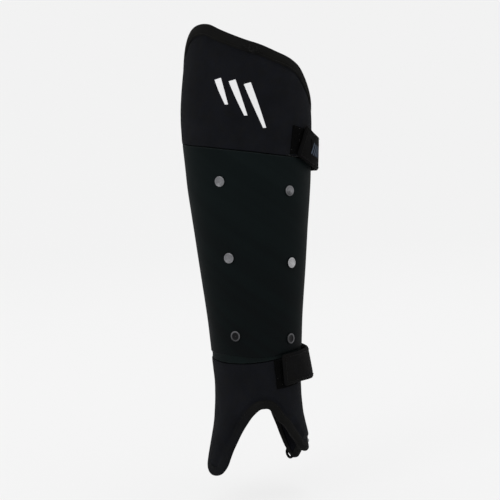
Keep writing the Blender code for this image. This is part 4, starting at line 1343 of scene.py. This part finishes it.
# ------------------------------------------------------------------ floor, light, camera
def studio(name):
    me = bpy.data.meshes.new(name)
    ys = [-14.0, 2.6] + [2.6 + 1.4 * math.sin(a) for a in np.linspace(0, math.pi / 2, 14)[1:]] + [4.0]
    zs = [0.0, 0.0] + [1.4 - 1.4 * math.cos(a) for a in np.linspace(0, math.pi / 2, 14)[1:]] + [5.0]
    verts, faces = [], []
    for y, zv in zip(ys, zs):
        verts += [(-14.0, y, zv - 0.085), (14.0, y, zv - 0.085)]
    for i in range(len(ys) - 1):
        faces.append((2 * i, 2 * i + 1, 2 * i + 3, 2 * i + 2))
    me.from_pydata(verts, [], faces)
    me.shade_smooth()
    m, nt, b = new_mat("studio_paper")
    b.inputs["Base Color"].default_value = (0.16, 0.16, 0.16, 1)
    b.inputs["Roughness"].default_value = 1.0
    b.inputs["Specular IOR Level"].default_value = 0.0
    b.inputs["Emission Color"].default_value = (1, 1, 1, 1)
    b.inputs["Emission Strength"].default_value = 0.74
    me.materials.append(m)
    ob = bpy.data.objects.new(name, me)
    bpy.context.scene.collection.objects.link(ob)
    ob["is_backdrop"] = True
    return ob


studio("studio_floor")


def area(name, loc, target, size, power, colour=(1, 1, 1)):
    ld = bpy.data.lights.new(name, "AREA")
    ld.shape = "RECTANGLE"
    ld.size, ld.size_y = size
    ld.energy = power
    ld.color = colour
    ob = bpy.data.objects.new(name, ld)
    ob.location = loc
    d = Vector(target) - Vector(loc)
    ob.rotation_euler = d.to_track_quat("-Z", "Y").to_euler()
    bpy.context.scene.collection.objects.link(ob)
    ob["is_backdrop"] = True
    return ob


area("key_left", (-1.5, -1.3, 1.5), (0, 0, 0.14), (0.9, 1.3), 9.0)
area("fill_right", (1.7, -1.2, 0.7), (0, 0, 0.14), (0.9, 1.4), 3.0)
area("rim_top", (0.3, 1.0, 1.9), (0, 0, 0.2), (1.2, 0.8), 6.0)

w = bpy.data.worlds.new("studio")
bpy.context.scene.world = w
w.use_nodes = True
bg = w.node_tree.nodes["Background"]
bg.inputs[0].default_value = (1.0, 1.0, 1.0, 1)
bg.inputs[1].default_value = 0.905

sc = bpy.context.scene
sc.view_settings.view_transform = "Standard"
sc.view_settings.look = "None"
sc.view_settings.exposure = 0.0
sc.view_settings.gamma = 1.0

AZ, EL, ROLL, DIST = math.radians(-7), math.radians(5), math.radians(2.42), 1.075
TARGET = Vector((0, 0, 0.141))
back = Vector((math.sin(AZ) * math.cos(EL), -math.cos(AZ) * math.cos(EL), math.sin(EL)))
right = Vector((0, 0, 1)).cross(back).normalized()
up = back.cross(right)
R = right * math.cos(ROLL) - up * math.sin(ROLL)
Uv = right * math.sin(ROLL) + up * math.cos(ROLL)
cd = bpy.data.cameras.new("camera")
cd.lens, cd.sensor_width = 86.0, 36.0
cd.clip_start, cd.clip_end = 0.02, 50.0
cam = bpy.data.objects.new("camera", cd)
mw = Matrix((R, Uv, back)).transposed().to_4x4()
mw.translation = TARGET - R * 0.0016 + back * DIST
cam.matrix_world = mw
bpy.context.scene.collection.objects.link(cam)
sc.camera = cam

bpy.context.view_layer.update()
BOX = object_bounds()


def plain(b):
    return json.loads(json.dumps(b, default=lambda x: list(x)))


{"cad": plain(CAD_BOX), "visual": plain(BOX)}
